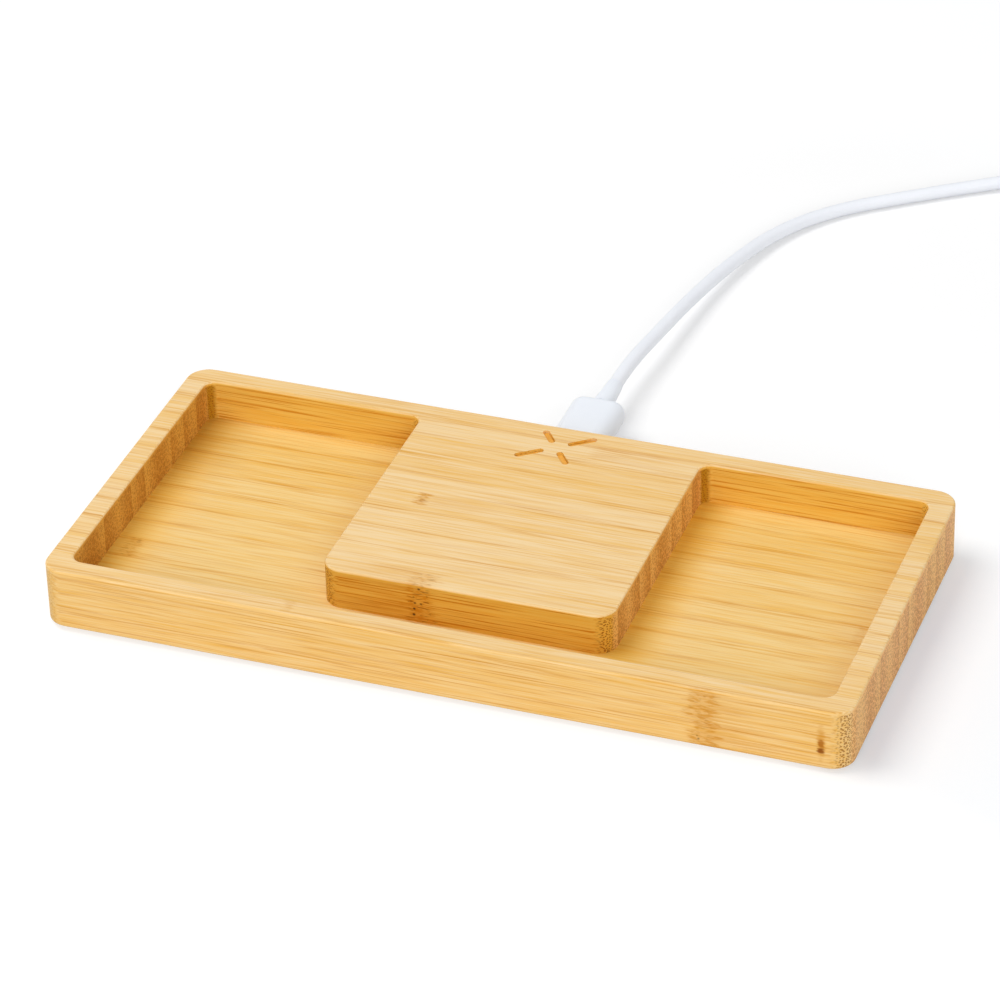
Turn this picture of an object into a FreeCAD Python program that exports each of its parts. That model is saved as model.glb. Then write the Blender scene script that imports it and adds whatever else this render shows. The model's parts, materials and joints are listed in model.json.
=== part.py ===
import FreeCAD, Part
import math
import os

# Bamboo desk tray with a wireless charging pad and its plugged-in cable, in millimetres.
# +X runs along the tray to the right, +Y to the back, +Z up.
# The origin is the middle of the tray's plan, on the surface that the feet stand on.

# Tray
TRAY_LENGTH = 172.0
TRAY_DEPTH = 83.3
RIM_WIDTH = 5.0
FLOOR_THICKNESS = 4.4
TRAY_CORNER_RADIUS = 4.8
POCKET_RADIUS = 2.6
EDGE_EASE = 0.5

# Charging pad, level with the rim
PAD_WIDTH = 62.8
PAD_CORNER_RADIUS = 4.5
CHANNEL_WIDTH = 12.6
PAD_WALL = 4.4
PAD_SKIN = 3.0
CAVITY_RADIUS = 3.0
NOTCH_RADIUS = 1.0
NOTCH_CLEARANCE = 0.5
PORT_WALL = 1.5
PORT_CLEARANCE = 0.4

# Light slots in the pad and the diffuser under them
SLOT_LONG_INNER = 2.7
SLOT_LONG_OUTER = 9.2
SLOT_SHORT_INNER = 2.0
SLOT_SHORT_OUTER = 7.1
SLOT_TILT = 37.0
SLOT_WIDTH = 1.5
SLOT_RECESS = 0.6
SLOT_CLEARANCE = 0.1
GUIDE_PLATE = 1.0
GUIDE_MARGIN = 0.3

# Feet
FOOT_DIAMETER = 10.0
FOOT_PROUD = 1.0
FOOT_RECESS = 0.5
FOOT_INSET_X = 14.0
FOOT_INSET_Y = 12.0

# Bottom cover and its screws
COVER_THICKNESS = 2.0
COVER_LEDGE = 6.0
COVER_BACK_LEDGE = 2.5
COVER_RADIUS = 3.0
COVER_CLEARANCE = 0.2
COVER_SCREW_INSET = 5.0
COVER_SCREW_LENGTH = 8.0
COVER_SCREW_SHANK = 2.2
COVER_SCREW_HEAD = 4.2
COVER_SCREW_HEAD_HEIGHT = 1.1
SCREW_CLEARANCE = 0.05
CROSS_WIDTH = 0.5
CROSS_SHARE = 0.6
CROSS_DEPTH = 0.6

# Circuit board and its screws
BOARD_THICKNESS = 1.0
BOARD_STANDOFF = 1.2
BOARD_CLEARANCE = 0.4
BOARD_FRONT_MARGIN = 8.0
BOARD_SCREW_INSET = 3.2
BOARD_SCREW_LENGTH = 3.0
BOARD_SCREW_SHANK = 2.0
BOARD_SCREW_HEAD = 3.8
BOARD_SCREW_HEAD_HEIGHT = 1.3
BOARD_BOSS_DIAMETER = 5.0
BOARD_SCREW_TIP_ROOM = 0.3
AIR_OVER_PORT = 2.1

# Chips on the board: length, width, height, place from the coil's centre, and how many in which row
CONTROLLER_CHIP = dict(size=(6.0, 6.0, 0.9), at=(-9.0, 14.0), count=1, pitch=0.0)
BRIDGE_TRANSISTORS = dict(size=(3.3, 3.3, 0.9), at=(2.0, 14.0), count=4, pitch=4.4)
RESONANT_CAPACITORS = dict(size=(1.6, 3.2, 1.6), at=(-16.0, 0.0), count=4, pitch=2.6)
INPUT_CAPACITORS = dict(size=(2.5, 3.2, 2.0), at=(9.0, 21.0), count=2, pitch=3.6)
SENSE_RESISTOR = dict(size=(6.4, 3.2, 0.6), at=(-9.0, 21.0), count=1, pitch=0.0)
LED_SIZE = (2.0, 1.2, 0.7)
LED_GAP = 1.5

# Transmitter coil, its adhesive, shield and thermistor
COIL_WIRE = 0.7
COIL_PITCH = 1.18
COIL_TURNS = 9
COIL_BEND = 1.5
COIL_SEAT = 0.05
COIL_ROOM_CLEARANCE = 1.2
SHIELD_OVERLAP = 0.4
SHIELD_THICKNESS = 0.8
SHIELD_RADIUS = 2.0
SHIELD_HOLE = 2.6
ADHESIVE_THICKNESS = 0.3
THERMISTOR_BEAD = 2.0
THERMISTOR_WIRE = 0.4
THERMISTOR_SPREAD = 1.2
THERMISTOR_HOLE = 4.0

# USB-C plug and the receptacle that it goes into
PLUG_C_WIDTH = 8.25
PLUG_C_HEIGHT = 2.4
PLUG_C_LENGTH = 6.65
PLUG_C_WALL = 0.25
PLUG_C_PLAY = 0.1
PLUG_C_FACE_GAP = 0.3
RECEPTACLE_WALL = 0.3
RECEPTACLE_END_ROOM = 0.2
RECEPTACLE_BASE = 1.1
RECEPTACLE_SETBACK = 0.15
TONGUE_WIDTH = 6.69
TONGUE_THICKNESS = 0.7
TONGUE_SETBACK = 1.2
TONGUE_PLAY = 0.1
OVERMOULD_C_WIDTH = 12.4
OVERMOULD_C_HEIGHT = 6.5
OVERMOULD_C_LENGTH = 23.0
OVERMOULD_C_ROUND = 2.4
RELIEF_C_LENGTH = 9.5
RELIEF_C_ROOT = 4.6
RELIEF_C_TIP = 3.6

# USB-A plug on the far end
PLUG_A_WIDTH = 12.0
PLUG_A_HEIGHT = 4.5
PLUG_A_LENGTH = 18.75
PLUG_A_WALL = 0.3
PLUG_A_TONGUE = 1.9
PLUG_A_TONGUE_SETBACK = 0.6
OVERMOULD_A_WIDTH = 15.5
OVERMOULD_A_HEIGHT = 7.8
OVERMOULD_A_LENGTH = 25.0
OVERMOULD_A_CORNER = 2.4
OVERMOULD_A_ROUND = 1.5
RELIEF_A_LENGTH = 11.5
RELIEF_A_ROOT = 5.2
RELIEF_A_TIP = 3.8

# Cable, its put-away coil and the tie
CABLE_DIAMETER = 3.2
COIL_LAY_GAP = 0.5
LAY_DIAMETER = 38.0
LAY_WHOLE_TURNS = 6
LAY_ARRIVAL = 35.0
LAY_DEPARTURE = -90.0
LAY_CENTRE = (92.5, 188.5)
EXIT_RUN = 9.0
COIL_RUN = 12.0
TAIL_RUN = 12.0
TAIL_LENGTH = 40.0
TIE_WIDTH = 6.0
TIE_THICKNESS = 0.6
TIE_CLEARANCE = 0.2
TIE_CORNER = 0.8
TIE_ANGLE = 270.0

# Share of a run that a bend takes, and the distance within which points are one
BEND_SHARE = 0.45
SAME_POINT = 1e-4

# Levels, from the table up
wood_bottom = FOOT_PROUD
cover_top = wood_bottom + COVER_THICKNESS
board_bottom = cover_top + BOARD_STANDOFF
board_top = board_bottom + BOARD_THICKNESS
receptacle_height = PLUG_C_HEIGHT + 2 * (PLUG_C_PLAY + RECEPTACLE_WALL)
receptacle_width = PLUG_C_WIDTH + 2 * (PLUG_C_PLAY + RECEPTACLE_WALL)
port_axis = board_top + receptacle_height / 2
cavity_top = board_top + receptacle_height + AIR_OVER_PORT + GUIDE_PLATE
wood_top = cavity_top + PAD_SKIN
pocket_floor = wood_bottom + FLOOR_THICKNESS

# Plan places
half_length = TRAY_LENGTH / 2
half_depth = TRAY_DEPTH / 2
pocket_half_length = half_length - RIM_WIDTH
pocket_half_depth = half_depth - RIM_WIDTH
pad_half = PAD_WIDTH / 2
pad_front = CHANNEL_WIDTH - pocket_half_depth
cavity_half = pad_half - PAD_WALL
cavity_front = pad_front + PAD_WALL
cavity_back = pocket_half_depth
notch_back = half_depth - PORT_WALL

slot_long = SLOT_LONG_OUTER - SLOT_WIDTH / 2
slot_short = SLOT_SHORT_OUTER - SLOT_WIDTH / 2
slot_tilt = math.radians(SLOT_TILT)
guide_reach_x = max(slot_long * math.cos(slot_tilt), slot_short * math.sin(slot_tilt))
guide_reach_y = max(slot_long * math.sin(slot_tilt), slot_short * math.cos(slot_tilt))
guide_half_x = guide_reach_x + SLOT_WIDTH / 2 + GUIDE_MARGIN
guide_half_y = guide_reach_y + SLOT_WIDTH / 2 + GUIDE_MARGIN
slot_centre = notch_back - NOTCH_CLEARANCE - guide_half_y
port_half = OVERMOULD_C_WIDTH / 2 + PORT_CLEARANCE
notch_half = max(guide_half_x, port_half) + NOTCH_CLEARANCE

coil_room = min(2 * cavity_half, slot_centre - guide_half_y - cavity_front)
coil_centre = (slot_centre - guide_half_y + cavity_front) / 2
shield_half = coil_room / 2 - COIL_ROOM_CLEARANCE
coil_outer = shield_half - SHIELD_OVERLAP - COIL_WIRE / 2
coil_inner = coil_outer - COIL_TURNS * COIL_PITCH
adhesive_bottom = cavity_top - ADHESIVE_THICKNESS
coil_level = adhesive_bottom - COIL_SEAT - COIL_WIRE / 2
shield_top = coil_level - COIL_WIRE / 2 - COIL_SEAT

board_half = cavity_half - BOARD_CLEARANCE
board_front = coil_centre - BOARD_FRONT_MARGIN
board_back = cavity_back - BOARD_CLEARANCE

receptacle_front = notch_back - RECEPTACLE_SETBACK
plug_tip = receptacle_front + PLUG_C_FACE_GAP - PLUG_C_LENGTH
receptacle_inside = plug_tip - RECEPTACLE_END_ROOM - RECEPTACLE_BASE
receptacle_back = receptacle_inside - RECEPTACLE_WALL
overmould_front = receptacle_front + PLUG_C_FACE_GAP
overmould_back = overmould_front + OVERMOULD_C_LENGTH
relief_end = overmould_back + RELIEF_C_LENGTH

# Put-away coil: wound inwards on the lower layer and outwards again on the upper one
lay_pitch = CABLE_DIAMETER + COIL_LAY_GAP
lay_turns = LAY_WHOLE_TURNS + (LAY_ARRIVAL - LAY_DEPARTURE) / 360
layer_turns = lay_turns / 2
lay_outer = LAY_DIAMETER / 2 + lay_pitch * layer_turns / 2
lay_start = math.radians(LAY_ARRIVAL + 90)
lower_layer = TIE_THICKNESS + TIE_CLEARANCE + CABLE_DIAMETER / 2
layer_steps = round(4 * layer_turns)
step_turns = layer_turns / layer_steps


def vector(x, y, z=0.0):
    return FreeCAD.Vector(x, y, z)


def line(start, end):
    return Part.LineSegment(start, end).toShape()


def arc(start, middle, end):
    return Part.Arc(start, middle, end).toShape()


def outline(corners, radii, z):
    """Closed plan wire through the corners, each rounded by its own radius."""
    points = [vector(x, y, z) for x, y in corners]
    bends = []
    for index, corner in enumerate(points):
        before = (points[index - 1] - corner).normalize()
        after = (points[(index + 1) % len(points)] - corner).normalize()
        half = before.getAngle(after) / 2
        reach = radii[index] / math.tan(half)
        inwards = (before + after).normalize()
        middle = corner + inwards * (radii[index] / math.sin(half) - radii[index])
        bends.append((corner + before * reach, middle, corner + after * reach))
    edges = []
    for index, (start, middle, end) in enumerate(bends):
        edges.append(arc(start, middle, end))
        following = bends[(index + 1) % len(bends)][0]
        if (following - end).Length > SAME_POINT:
            edges.append(line(end, following))
    return Part.Wire(edges)


def slab(corners, radii, bottom, top):
    """Upright prism on a rounded outline."""
    return Part.Face(outline(corners, radii, bottom)).extrude(vector(0, 0, top - bottom))


def rounded_box(x0, x1, y0, y1, radius, bottom, top):
    return slab([(x0, y0), (x1, y0), (x1, y1), (x0, y1)], [radius] * 4, bottom, top)


def disc(x, y, diameter, bottom, top):
    return Part.makeCylinder(diameter / 2, top - bottom, vector(x, y, bottom))


def chip(x, y, size, bottom):
    length, width, height = size
    return Part.makeBox(length, width, height, vector(x - length / 2, y - width / 2, bottom))


def bar_along_y(width, height, corner, y0, y1, x, z):
    """Prism along Y with a rounded section, centred on x and z."""
    profile = rounded_box(-width / 2, width / 2, -height / 2, height / 2, corner, 0, y1 - y0)
    profile.rotate(vector(0, 0), vector(1, 0), 90)
    profile.translate(vector(x, y1, z))
    return profile


def edges_at(shape, axis, value):
    """The edges that lie wholly in one plane square to an axis."""
    found = []
    for edge in shape.Edges:
        box = edge.BoundBox
        low, high = (getattr(box, axis + end) for end in ("Min", "Max"))
        if abs(low - value) < SAME_POINT and abs(high - value) < SAME_POINT:
            found.append(edge)
    return found


def tube(edges, diameter, label):
    """Round tube along joined edges, with its volume set against section times length."""
    path = Part.Wire(edges)
    start = edges[0].valueAt(edges[0].FirstParameter)
    heading = edges[0].tangentAt(edges[0].FirstParameter)
    section = Part.Wire(Part.Circle(start, heading, diameter / 2).toShape())
    solid = path.makePipeShell([section], True, False)
    wanted = math.pi * diameter ** 2 / 4 * path.Length
    print(f"{label}: length {path.Length:.1f}, volume over section times length {solid.Volume / wanted:.4f}")
    return solid


def routed(points, label):
    """Straight runs with the largest even bends that they allow."""
    edges = []
    radii = []
    last = points[0]
    for before, corner, after in zip(points, points[1:], points[2:]):
        back = (before - corner).normalize()
        on = (after - corner).normalize()
        half_turn = (math.pi - back.getAngle(on)) / 2
        reach = BEND_SHARE * min((before - corner).Length, (after - corner).Length)
        radius = reach / math.tan(half_turn)
        inwards = (back + on).normalize()
        middle = corner + inwards * (radius / math.cos(half_turn) - radius)
        edges.append(line(last, corner + back * reach))
        edges.append(arc(corner + back * reach, middle, corner + on * reach))
        last = corner + on * reach
        radii.append(radius)
    edges.append(line(last, points[-1]))
    print(f"{label}: bend radii {[round(radius, 1) for radius in radii]}")
    return edges


def half_biarc(start, apex, end):
    """One arc between two points whose tangents meet at the apex."""
    chord_middle = (start + end) * 0.5
    rise = (apex - chord_middle).Length
    half_chord = (end - start).Length / 2
    sagitta = half_chord * ((apex - start).Length - half_chord) / rise
    return arc(start, chord_middle + (apex - chord_middle) * (sagitta / rise), end)


def biarc(start, start_heading, end, end_heading):
    """Two tangent arcs from one point and heading to another."""
    span = end - start
    both = start_heading + end_heading
    spread = 2 * (1 - start_heading.dot(end_heading))
    along = span.dot(both)
    reach = (math.sqrt(along ** 2 + spread * span.dot(span)) - along) / spread
    first_apex = start + start_heading * reach
    second_apex = end - end_heading * reach
    joint = (first_apex + second_apex) * 0.5
    return [half_biarc(start, first_apex, joint), half_biarc(joint, second_apex, end)]


def print_self_gap(edges, diameter, label):
    """Least clear gap between stretches of a wound tube that are not next to each other."""
    points = []
    for edge in edges:
        count = max(2, int(edge.Length / (diameter / 2)) + 1)
        points += edge.discretize(count)[:-1]
    neighbours = 8
    least = min((a - b).Length for i, a in enumerate(points) for b in points[i + neighbours:])
    print(f"{label}: least gap to itself {least - diameter:.2f}")


def make_cavity():
    """Space for the electronics, with a notch that brings the receptacle to the port."""
    corners = [(-cavity_half, cavity_front), (cavity_half, cavity_front)]
    corners += [(cavity_half, cavity_back), (notch_half, cavity_back), (notch_half, notch_back)]
    corners += [(-notch_half, notch_back), (-notch_half, cavity_back), (-cavity_half, cavity_back)]
    radii = [CAVITY_RADIUS] * 3 + [NOTCH_RADIUS] * 4 + [CAVITY_RADIUS]
    return slab(corners, radii, wood_bottom, cavity_top)


def slot_bars(width, bottom, top):
    """Radial bars with round ends about the light's centre: two long ones, and two short ones across them."""
    pairs = ((SLOT_LONG_INNER, slot_long, SLOT_TILT), (SLOT_SHORT_INNER, slot_short, SLOT_TILT + 90))
    bars = []
    for inner, far, direction in pairs:
        near = inner + SLOT_WIDTH / 2
        bar = rounded_box(near - width / 2, far + width / 2, -width / 2, width / 2, width / 2, bottom, top)
        for angle in (direction, direction + 180):
            turned = bar.copy()
            turned.rotate(vector(0, 0), vector(0, 0, 1), angle)
            turned.translate(vector(0, slot_centre))
            bars.append(turned)
    return bars


def cover_screw_places():
    x = cavity_half + PAD_WALL / 2
    rows = (cavity_front + COVER_SCREW_INSET, cavity_back - COVER_SCREW_INSET)
    return [(side * x, y) for side in (-1, 1) for y in rows]


def board_screw_places():
    x = board_half - BOARD_SCREW_INSET
    rows = (board_front + BOARD_SCREW_INSET, board_back - BOARD_SCREW_INSET)
    return [(side * x, y) for side in (-1, 1) for y in rows]


def foot_places():
    x, y = half_length - FOOT_INSET_X, half_depth - FOOT_INSET_Y
    return {
        "foot_front_left": (-x, -y),
        "foot_front_right": (x, -y),
        "foot_back_left": (-x, y),
        "foot_back_right": (x, y),
    }


def make_tray_body():
    corners = [(-half_length, -half_depth), (half_length, -half_depth)]
    corners += [(half_length, half_depth), (-half_length, half_depth)]
    body = slab(corners, [TRAY_CORNER_RADIUS] * 4, wood_bottom, wood_top)
    left, right, front, back = -pocket_half_length, pocket_half_length, -pocket_half_depth, pocket_half_depth
    pocket = [(left, front), (right, front), (right, back), (pad_half, back)]
    pocket += [(pad_half, pad_front), (-pad_half, pad_front), (-pad_half, back), (left, back)]
    radii = [POCKET_RADIUS] * 4 + [PAD_CORNER_RADIUS] * 2 + [POCKET_RADIUS] * 2
    body = body.cut(slab(pocket, radii, pocket_floor, wood_top))
    body = body.makeFillet(EDGE_EASE, edges_at(body, "Z", wood_top) + edges_at(body, "Z", wood_bottom))

    cuts = [make_cavity()]
    cuts.append(rounded_box(*cover_plan(0), COVER_RADIUS, wood_bottom, cover_top))
    cuts += slot_bars(SLOT_WIDTH, cavity_top, wood_top)
    port_height = OVERMOULD_C_HEIGHT + 2 * PORT_CLEARANCE
    cuts.append(stadium(2 * port_half, port_height, notch_back, half_depth))
    pilot = COVER_SCREW_SHANK + 2 * SCREW_CLEARANCE
    pilot_top = wood_bottom + COVER_SCREW_LENGTH + SCREW_CLEARANCE
    cuts += [disc(x, y, pilot, wood_bottom, pilot_top) for x, y in cover_screw_places()]
    cuts += [disc(x, y, FOOT_DIAMETER, wood_bottom, wood_bottom + FOOT_RECESS) for x, y in foot_places().values()]
    return body.cut(cuts)


def cover_plan(gap):
    """Left, right, front and back of the cover's seat, drawn in by a gap."""
    side = cavity_half + COVER_LEDGE - gap
    return -side, side, cavity_front - COVER_LEDGE + gap, cavity_back + COVER_BACK_LEDGE - gap


def make_light_guide():
    plate = rounded_box(
        -guide_half_x,
        guide_half_x,
        slot_centre - guide_half_y,
        slot_centre + guide_half_y,
        NOTCH_RADIUS,
        cavity_top - GUIDE_PLATE,
        cavity_top,
    )
    bars = slot_bars(SLOT_WIDTH - 2 * SLOT_CLEARANCE, cavity_top - GUIDE_PLATE, wood_top - SLOT_RECESS)
    return plate.fuse(bars).removeSplitter()


def make_bottom_cover():
    cover = rounded_box(*cover_plan(COVER_CLEARANCE), COVER_RADIUS, wood_bottom, cover_top)
    tab_half = notch_half - COVER_CLEARANCE
    tab_back = notch_back - COVER_CLEARANCE
    tab = rounded_box(-tab_half, tab_half, cavity_front, tab_back, NOTCH_RADIUS, wood_bottom, cover_top)
    bosses = [disc(x, y, BOARD_BOSS_DIAMETER, wood_bottom, board_bottom) for x, y in board_screw_places()]
    cover = cover.fuse([tab] + bosses).removeSplitter()
    hole = COVER_SCREW_SHANK + 2 * SCREW_CLEARANCE
    cuts = []
    for x, y in cover_screw_places():
        cuts.append(disc(x, y, hole, wood_bottom, cover_top))
        cuts.append(countersink(x, y, SCREW_CLEARANCE))
    thread = BOARD_SCREW_SHANK + 2 * SCREW_CLEARANCE
    thread_bottom = board_top - BOARD_SCREW_LENGTH - BOARD_SCREW_TIP_ROOM
    cuts += [disc(x, y, thread, thread_bottom, board_bottom) for x, y in board_screw_places()]
    return cover.cut(cuts)


def countersink(x, y, clearance):
    wide = COVER_SCREW_HEAD / 2 + clearance
    narrow = COVER_SCREW_SHANK / 2 + clearance
    return Part.makeCone(wide, narrow, COVER_SCREW_HEAD_HEIGHT, vector(x, y, wood_bottom))


def cross_recess(x, y, head, bottom, top):
    reach = head * CROSS_SHARE / 2
    size, centre = (2 * reach, CROSS_WIDTH, top - bottom), vector(x, y, bottom)
    across = Part.makeBox(*size, vector(x - reach, y - CROSS_WIDTH / 2, bottom))
    along = across.copy()
    along.rotate(centre, vector(0, 0, 1), 90)
    return across.fuse(along)


def make_cover_screws():
    screws = []
    for x, y in cover_screw_places():
        shank = disc(x, y, COVER_SCREW_SHANK, wood_bottom, wood_bottom + COVER_SCREW_LENGTH)
        screw = countersink(x, y, 0).fuse(shank).removeSplitter()
        recess = cross_recess(x, y, COVER_SCREW_HEAD, wood_bottom, wood_bottom + CROSS_DEPTH)
        screws.append(screw.cut(recess))
    return Part.makeCompound(screws)


def make_board_screws():
    screws = []
    head_top = board_top + BOARD_SCREW_HEAD_HEIGHT
    for x, y in board_screw_places():
        head = disc(x, y, BOARD_SCREW_HEAD, board_top, head_top)
        shank = disc(x, y, BOARD_SCREW_SHANK, board_top - BOARD_SCREW_LENGTH, board_top)
        recess = cross_recess(x, y, BOARD_SCREW_HEAD, head_top - CROSS_DEPTH, head_top)
        screws.append(head.fuse(shank).cut(recess))
    return Part.makeCompound(screws)


def make_circuit_board():
    main = rounded_box(-board_half, board_half, board_front, board_back, CAVITY_RADIUS, board_bottom, board_top)
    tongue_half = notch_half - BOARD_CLEARANCE
    tongue_back = notch_back - BOARD_CLEARANCE
    tongue = rounded_box(-tongue_half, tongue_half, board_front, tongue_back, NOTCH_RADIUS, board_bottom, board_top)
    hole = BOARD_SCREW_SHANK + 2 * SCREW_CLEARANCE
    holes = [disc(x, y, hole, board_bottom, board_top) for x, y in board_screw_places()]
    return main.fuse(tongue).removeSplitter().cut(holes)


def make_chips(size, at, count, pitch):
    """A row of equal chips on the board, placed from the coil's centre."""
    places = [(at[0] + index * pitch, coil_centre + at[1]) for index in range(count)]
    return Part.makeCompound([chip(x, y, size, board_top) for x, y in places])


def make_indicator_led():
    return chip(0, receptacle_back - LED_GAP - LED_SIZE[1] / 2, LED_SIZE, board_top)


def coil_lead_places():
    """Where the coil's inner and outer leads go down to the board."""
    return (coil_inner, coil_centre - COIL_BEND), (coil_outer, coil_centre + COIL_BEND)


def make_transmitter_coil():
    """Flat spiral of half turns, with both ends bent down to the board."""
    (inner_x, inner_y), (outer_x, outer_y) = coil_lead_places()
    bend_level = coil_level - COIL_BEND
    corner = COIL_BEND * math.sqrt(0.5)
    foot = vector(inner_x, inner_y, board_top)
    shoulder = vector(inner_x, inner_y, bend_level)
    start = vector(coil_inner, coil_centre, coil_level)
    edges = [line(foot, shoulder)]
    edges.append(arc(shoulder, vector(inner_x, coil_centre - corner, bend_level + corner), start))
    side = 1
    for index in range(2 * COIL_TURNS):
        near = coil_inner + index * COIL_PITCH / 2
        far = near + COIL_PITCH / 2
        radius = (near + far) / 2
        first, last = vector(side * near, coil_centre, coil_level), vector(-side * far, coil_centre, coil_level)
        edges.append(arc(first, vector(side * (near - far) / 2, coil_centre + side * radius, coil_level), last))
        side = -side
    end = vector(coil_outer, coil_centre, coil_level)
    shoulder = vector(outer_x, outer_y, bend_level)
    edges.append(arc(end, vector(outer_x, coil_centre + corner, bend_level + corner), shoulder))
    edges.append(line(shoulder, vector(outer_x, outer_y, board_top)))
    print_self_gap(edges, COIL_WIRE, "transmitter_coil")
    return tube(edges, COIL_WIRE, "transmitter_coil")


def make_ferrite_shield():
    bottom = shield_top - SHIELD_THICKNESS
    front, back = coil_centre - shield_half, coil_centre + shield_half
    shield = rounded_box(-shield_half, shield_half, front, back, SHIELD_RADIUS, bottom, shield_top)
    (inner_x, inner_y), (outer_x, outer_y) = coil_lead_places()
    holes = [disc(0, coil_centre, THERMISTOR_HOLE, bottom, shield_top)]
    holes.append(disc(inner_x, inner_y, SHIELD_HOLE, bottom, shield_top))
    holes.append(disc(outer_x, outer_y, SHIELD_HOLE, bottom, shield_top))
    return shield.cut(holes)


def make_coil_adhesive():
    return disc(0, coil_centre, 2 * coil_outer + COIL_WIRE, adhesive_bottom, cavity_top)


def make_coil_thermistor():
    bead_level = adhesive_bottom - COIL_SEAT - THERMISTOR_BEAD / 2
    bead = Part.makeSphere(THERMISTOR_BEAD / 2, vector(0, coil_centre, bead_level))
    sides = (-THERMISTOR_SPREAD / 2, THERMISTOR_SPREAD / 2)
    legs = [disc(x, coil_centre, THERMISTOR_WIRE, board_top, bead_level) for x in sides]
    return bead.fuse(legs).removeSplitter()


def stadium(width, height, y0, y1):
    """Prism along Y on the port's axis, its section with fully round ends."""
    return bar_along_y(width, height, height / 2, y0, y1, 0, port_axis)


def make_usb_receptacle_shell():
    outer = stadium(receptacle_width, receptacle_height, receptacle_back, receptacle_front)
    inner_width = receptacle_width - 2 * RECEPTACLE_WALL
    inner_height = receptacle_height - 2 * RECEPTACLE_WALL
    return outer.cut(stadium(inner_width, inner_height, receptacle_inside, receptacle_front))


def make_usb_receptacle_tongue():
    inner_width = receptacle_width - 2 * RECEPTACLE_WALL
    inner_height = receptacle_height - 2 * RECEPTACLE_WALL
    base = stadium(inner_width, inner_height, receptacle_inside, receptacle_inside + RECEPTACLE_BASE)
    tip = receptacle_front - TONGUE_SETBACK
    corner = vector(-TONGUE_WIDTH / 2, receptacle_inside, port_axis - TONGUE_THICKNESS / 2)
    return base.fuse(Part.makeBox(TONGUE_WIDTH, tip - receptacle_inside, TONGUE_THICKNESS, corner)).removeSplitter()


def make_plug_c_shell():
    outer = stadium(PLUG_C_WIDTH, PLUG_C_HEIGHT, plug_tip, overmould_front)
    inside = stadium(PLUG_C_WIDTH - 2 * PLUG_C_WALL, PLUG_C_HEIGHT - 2 * PLUG_C_WALL, plug_tip, overmould_front)
    return outer.cut(inside)


def make_plug_c_insert():
    block = stadium(PLUG_C_WIDTH - 2 * PLUG_C_WALL, PLUG_C_HEIGHT - 2 * PLUG_C_WALL, plug_tip, overmould_front)
    width, height = TONGUE_WIDTH + 2 * TONGUE_PLAY, TONGUE_THICKNESS + 2 * TONGUE_PLAY
    deep = receptacle_front - TONGUE_SETBACK + TONGUE_PLAY - plug_tip
    return block.cut(Part.makeBox(width, deep, height, vector(-width / 2, plug_tip, port_axis - height / 2)))


def make_plug_c_overmould():
    body = stadium(OVERMOULD_C_WIDTH, OVERMOULD_C_HEIGHT, overmould_front, overmould_back)
    return body.makeFillet(OVERMOULD_C_ROUND, edges_at(body, "Y", overmould_back))


def make_plug_c_strain_relief():
    base = vector(0, overmould_back, port_axis)
    return Part.makeCone(RELIEF_C_ROOT / 2, RELIEF_C_TIP / 2, RELIEF_C_LENGTH, base, vector(0, 1))


def lay_point(turns):
    """Point and heading of the put-away coil after so many turns, clockwise from where the cable arrives."""
    inwards = turns <= layer_turns
    wound = turns if inwards else 2 * layer_turns - turns
    radius = lay_outer - lay_pitch * wound
    angle = lay_start - 2 * math.pi * turns
    climb = min(max((turns - layer_turns) / step_turns, -1.0), 1.0)
    level = lower_layer + lay_pitch * (1 + math.sin(climb * math.pi / 2)) / 2
    steady = all(abs(turns - still) > SAME_POINT for still in (0, layer_turns, 2 * layer_turns))
    out_rate = (-lay_pitch if inwards else lay_pitch) * steady / (2 * math.pi)
    up_rate = lay_pitch * math.cos(climb * math.pi / 2) * math.pi / (4 * step_turns) / (2 * math.pi)
    cosine, sine = math.cos(angle), math.sin(angle)
    point = vector(LAY_CENTRE[0] + radius * cosine, LAY_CENTRE[1] + radius * sine, level)
    heading = vector(out_rate * cosine + radius * sine, out_rate * sine - radius * cosine, up_rate)
    return point, heading.normalize()


def lay_ends():
    """Start and end of the coil, each past a straight lead one diameter long."""
    first, first_heading = lay_point(0)
    last, last_heading = lay_point(2 * layer_turns)
    return first - first_heading * CABLE_DIAMETER, last + last_heading * CABLE_DIAMETER


def make_cable_coil():
    stations = [lay_point(index * step_turns) for index in range(2 * layer_steps + 1)]
    start, end = lay_ends()
    edges = [line(start, stations[0][0])]
    for (here, heading), (there, next_heading) in zip(stations, stations[1:]):
        edges += biarc(here, heading, there, next_heading)
    edges.append(line(stations[-1][0], end))
    print_self_gap(edges, CABLE_DIAMETER, "cable_coil")
    return tube(edges, CABLE_DIAMETER, "cable_coil")


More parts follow.
